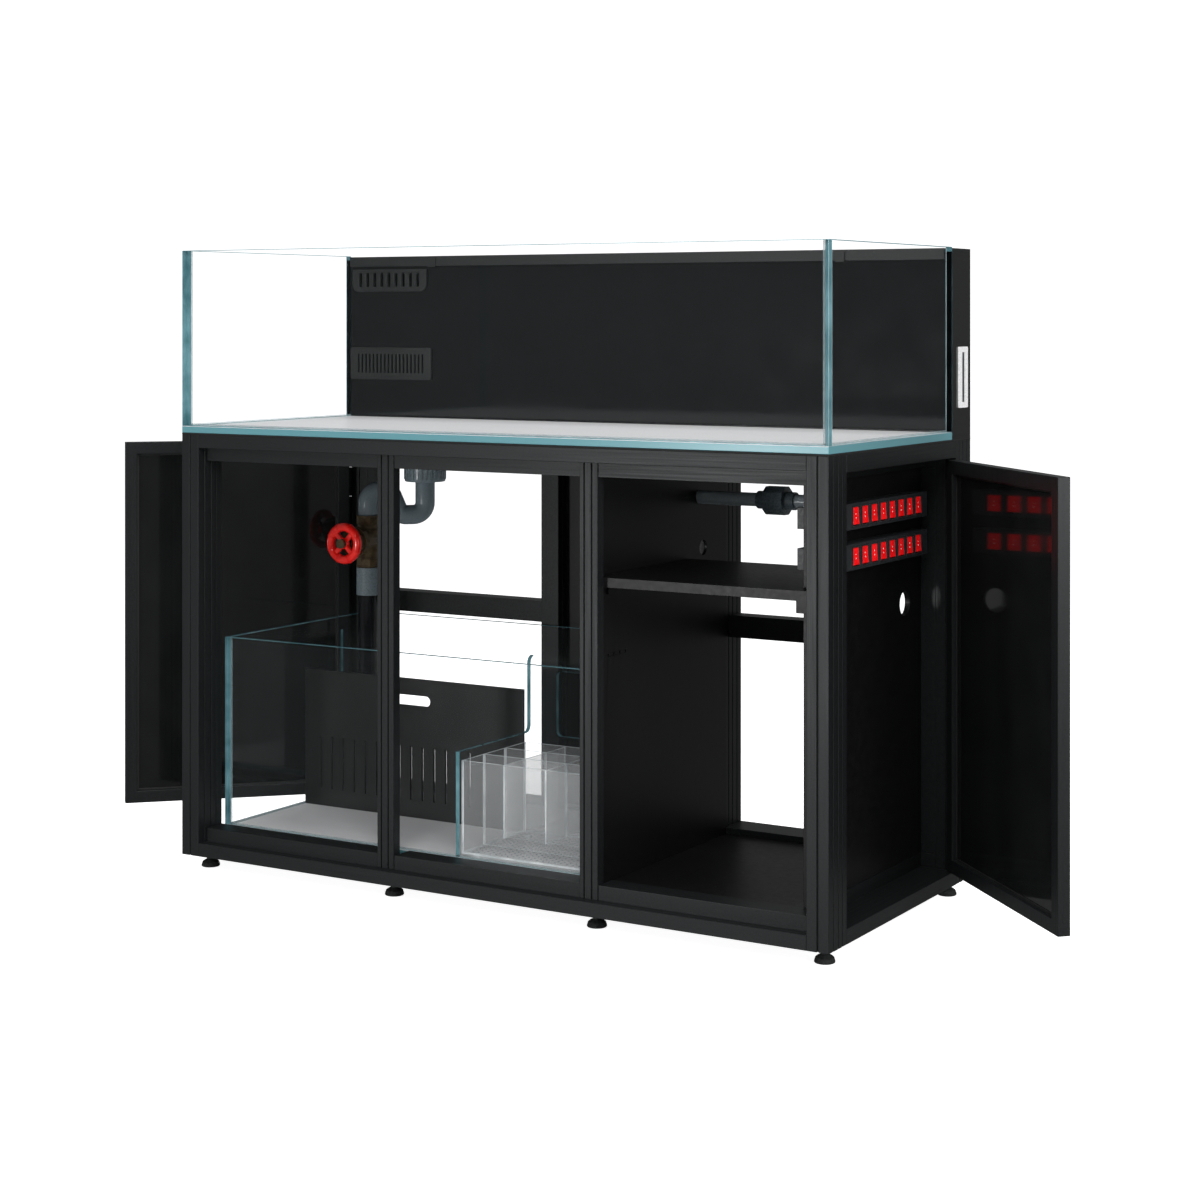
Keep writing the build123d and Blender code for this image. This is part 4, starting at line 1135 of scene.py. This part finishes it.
class AQUARIUM_OT_stage(bpy.types.Operator):
    """Set up the pale floor, the soft studio light and the camera"""

    bl_idname = "aquarium.stage"
    bl_label = "Stage"

    def execute(self, context):
        settings = context.scene.aquarium_stage
        material, tree, shader = new_material("pale_studio_floor", "f4f4f4", 0.9, Emission_Color=(1, 1, 1, 1))
        shader.inputs["Base Color"].default_value = (*settings.floor_colour, 1)
        seen = add_node(tree, "ShaderNodeLightPath")
        glow = add_node(
            tree, "ShaderNodeMapRange", values={"To Min": 0.12, "To Max": 0.95},
            links={"Value": seen.outputs["Is Camera Ray"]},
        )
        tree.links.new(glow.outputs["Result"], shader.inputs["Emission Strength"])
        mesh = bpy.data.meshes.new("floor")
        reach = 30
        corners = [(-reach, -reach, 0), (reach, -reach, 0), (reach, reach, 0), (-reach, reach, 0)]
        mesh.from_pydata(corners, [], [(0, 1, 2, 3)])
        mesh.materials.append(material)
        floor = bpy.data.objects.new("studio_floor", mesh)
        context.scene.collection.objects.link(floor)
        floor.location = (0, 0, -0.0005)
        floor.visible_glossy = False
        world = bpy.data.worlds.new("studio")
        context.scene.world = world
        world.use_nodes = True
        sky = world.node_tree
        sky.nodes.clear()
        seen, lit, mirrored = (
            add_node(sky, "ShaderNodeBackground", values={"Color": colour, "Strength": strength})
            for colour, strength in (((1, 1, 1, 1), 1.15), ((0.95, 0.97, 1, 1), 0.24), ((1, 1, 1, 1), 0.15))
        )
        path = add_node(sky, "ShaderNodeLightPath")
        indirect = add_node(
            sky, "ShaderNodeMixShader",
            links={0: path.outputs["Is Glossy Ray"], 1: lit.outputs[0], 2: mirrored.outputs[0]},
        )
        both = add_node(
            sky, "ShaderNodeMixShader",
            links={0: path.outputs["Is Camera Ray"], 1: indirect.outputs[0], 2: seen.outputs[0]},
        )
        add_node(sky, "ShaderNodeOutputWorld", links={"Surface": both.outputs[0]})
        area_light("key_light", (1.6, -3.2, 3.4), (0, 0, 0.5), 2.4, 95)
        area_light("top_light", (0, 0.1, 3.6), (0, 0, 0.8), 2.6, 105)
        area_light("side_light", (3.4, -1.3, 1.3), (0.6, 0, 0.5), 1.4, 45)
        area_light("front_light", (-1.3, -3.9, 0.24), (0, 0, 0.5), 0.46, 30)
        context.scene.view_settings.view_transform = "Standard"
        camera = bpy.data.cameras.new("camera")
        camera.sensor_width = 36
        camera.lens = settings.lens
        camera.shift_y = settings.rise
        rig = bpy.data.objects.new("camera", camera)
        context.scene.collection.objects.link(rig)
        rig.location = settings.camera_place
        rig.rotation_euler = (math.radians(90), 0, settings.camera_turn)
        context.scene.camera = rig
        return {"FINISHED"}


class AQUARIUM_PT_panel(bpy.types.Panel):
    """Lists the aquarium's pieces and their settings"""

    bl_label = "Aquarium on a Stand"
    bl_idname = "AQUARIUM_PT_panel"
    bl_space_type = "VIEW_3D"
    bl_region_type = "UI"
    bl_category = "Aquarium"

    def draw(self, context):
        for group in SETTINGS:
            box = self.layout.box()
            settings = getattr(context.scene, group)
            for name in settings.bl_rna.properties.keys():
                if name not in ("rna_type", "name"):
                    box.prop(settings, name)
        for operator in OPERATORS:
            self.layout.operator(operator.bl_idname)


SETTINGS = {
    "aquarium_stand": AquariumStandSettings,
    "aquarium_glass": AquariumGlassSettings,
    "aquarium_plumbing": AquariumPlumbingSettings,
    "aquarium_stage": AquariumStageSettings,
}
OPERATORS = (
    AQUARIUM_OT_stage,
    AQUARIUM_OT_stand_frame,
    AQUARIUM_OT_boards,
    AQUARIUM_OT_feet,
    AQUARIUM_OT_doors,
    AQUARIUM_OT_display_tank,
    AQUARIUM_OT_overflow,
    AQUARIUM_OT_sump,
    AQUARIUM_OT_media_rack,
    AQUARIUM_OT_pipes,
    AQUARIUM_OT_valve,
    AQUARIUM_OT_switches,
)


def register():
    """Registers the settings, the operators and the panel."""
    for name, group in SETTINGS.items():
        bpy.utils.register_class(group)
        setattr(bpy.types.Scene, name, PointerProperty(type=group))
    for item in (*OPERATORS, AQUARIUM_PT_panel):
        bpy.utils.register_class(item)


def unregister():
    """Removes what register added."""
    for item in (AQUARIUM_PT_panel, *reversed(OPERATORS)):
        bpy.utils.unregister_class(item)
    for name, group in SETTINGS.items():
        delattr(bpy.types.Scene, name)
        bpy.utils.unregister_class(group)


def main():
    """Builds every piece in order."""
    register()
    FINISHES.update(make_finishes())
    bpy.context.scene.cycles.transparent_max_bounces = 48
    for operator in OPERATORS:
        category, name = operator.bl_idname.split(".")
        getattr(getattr(bpy.ops, category), name)()


if __name__ == "__main__":
    main()
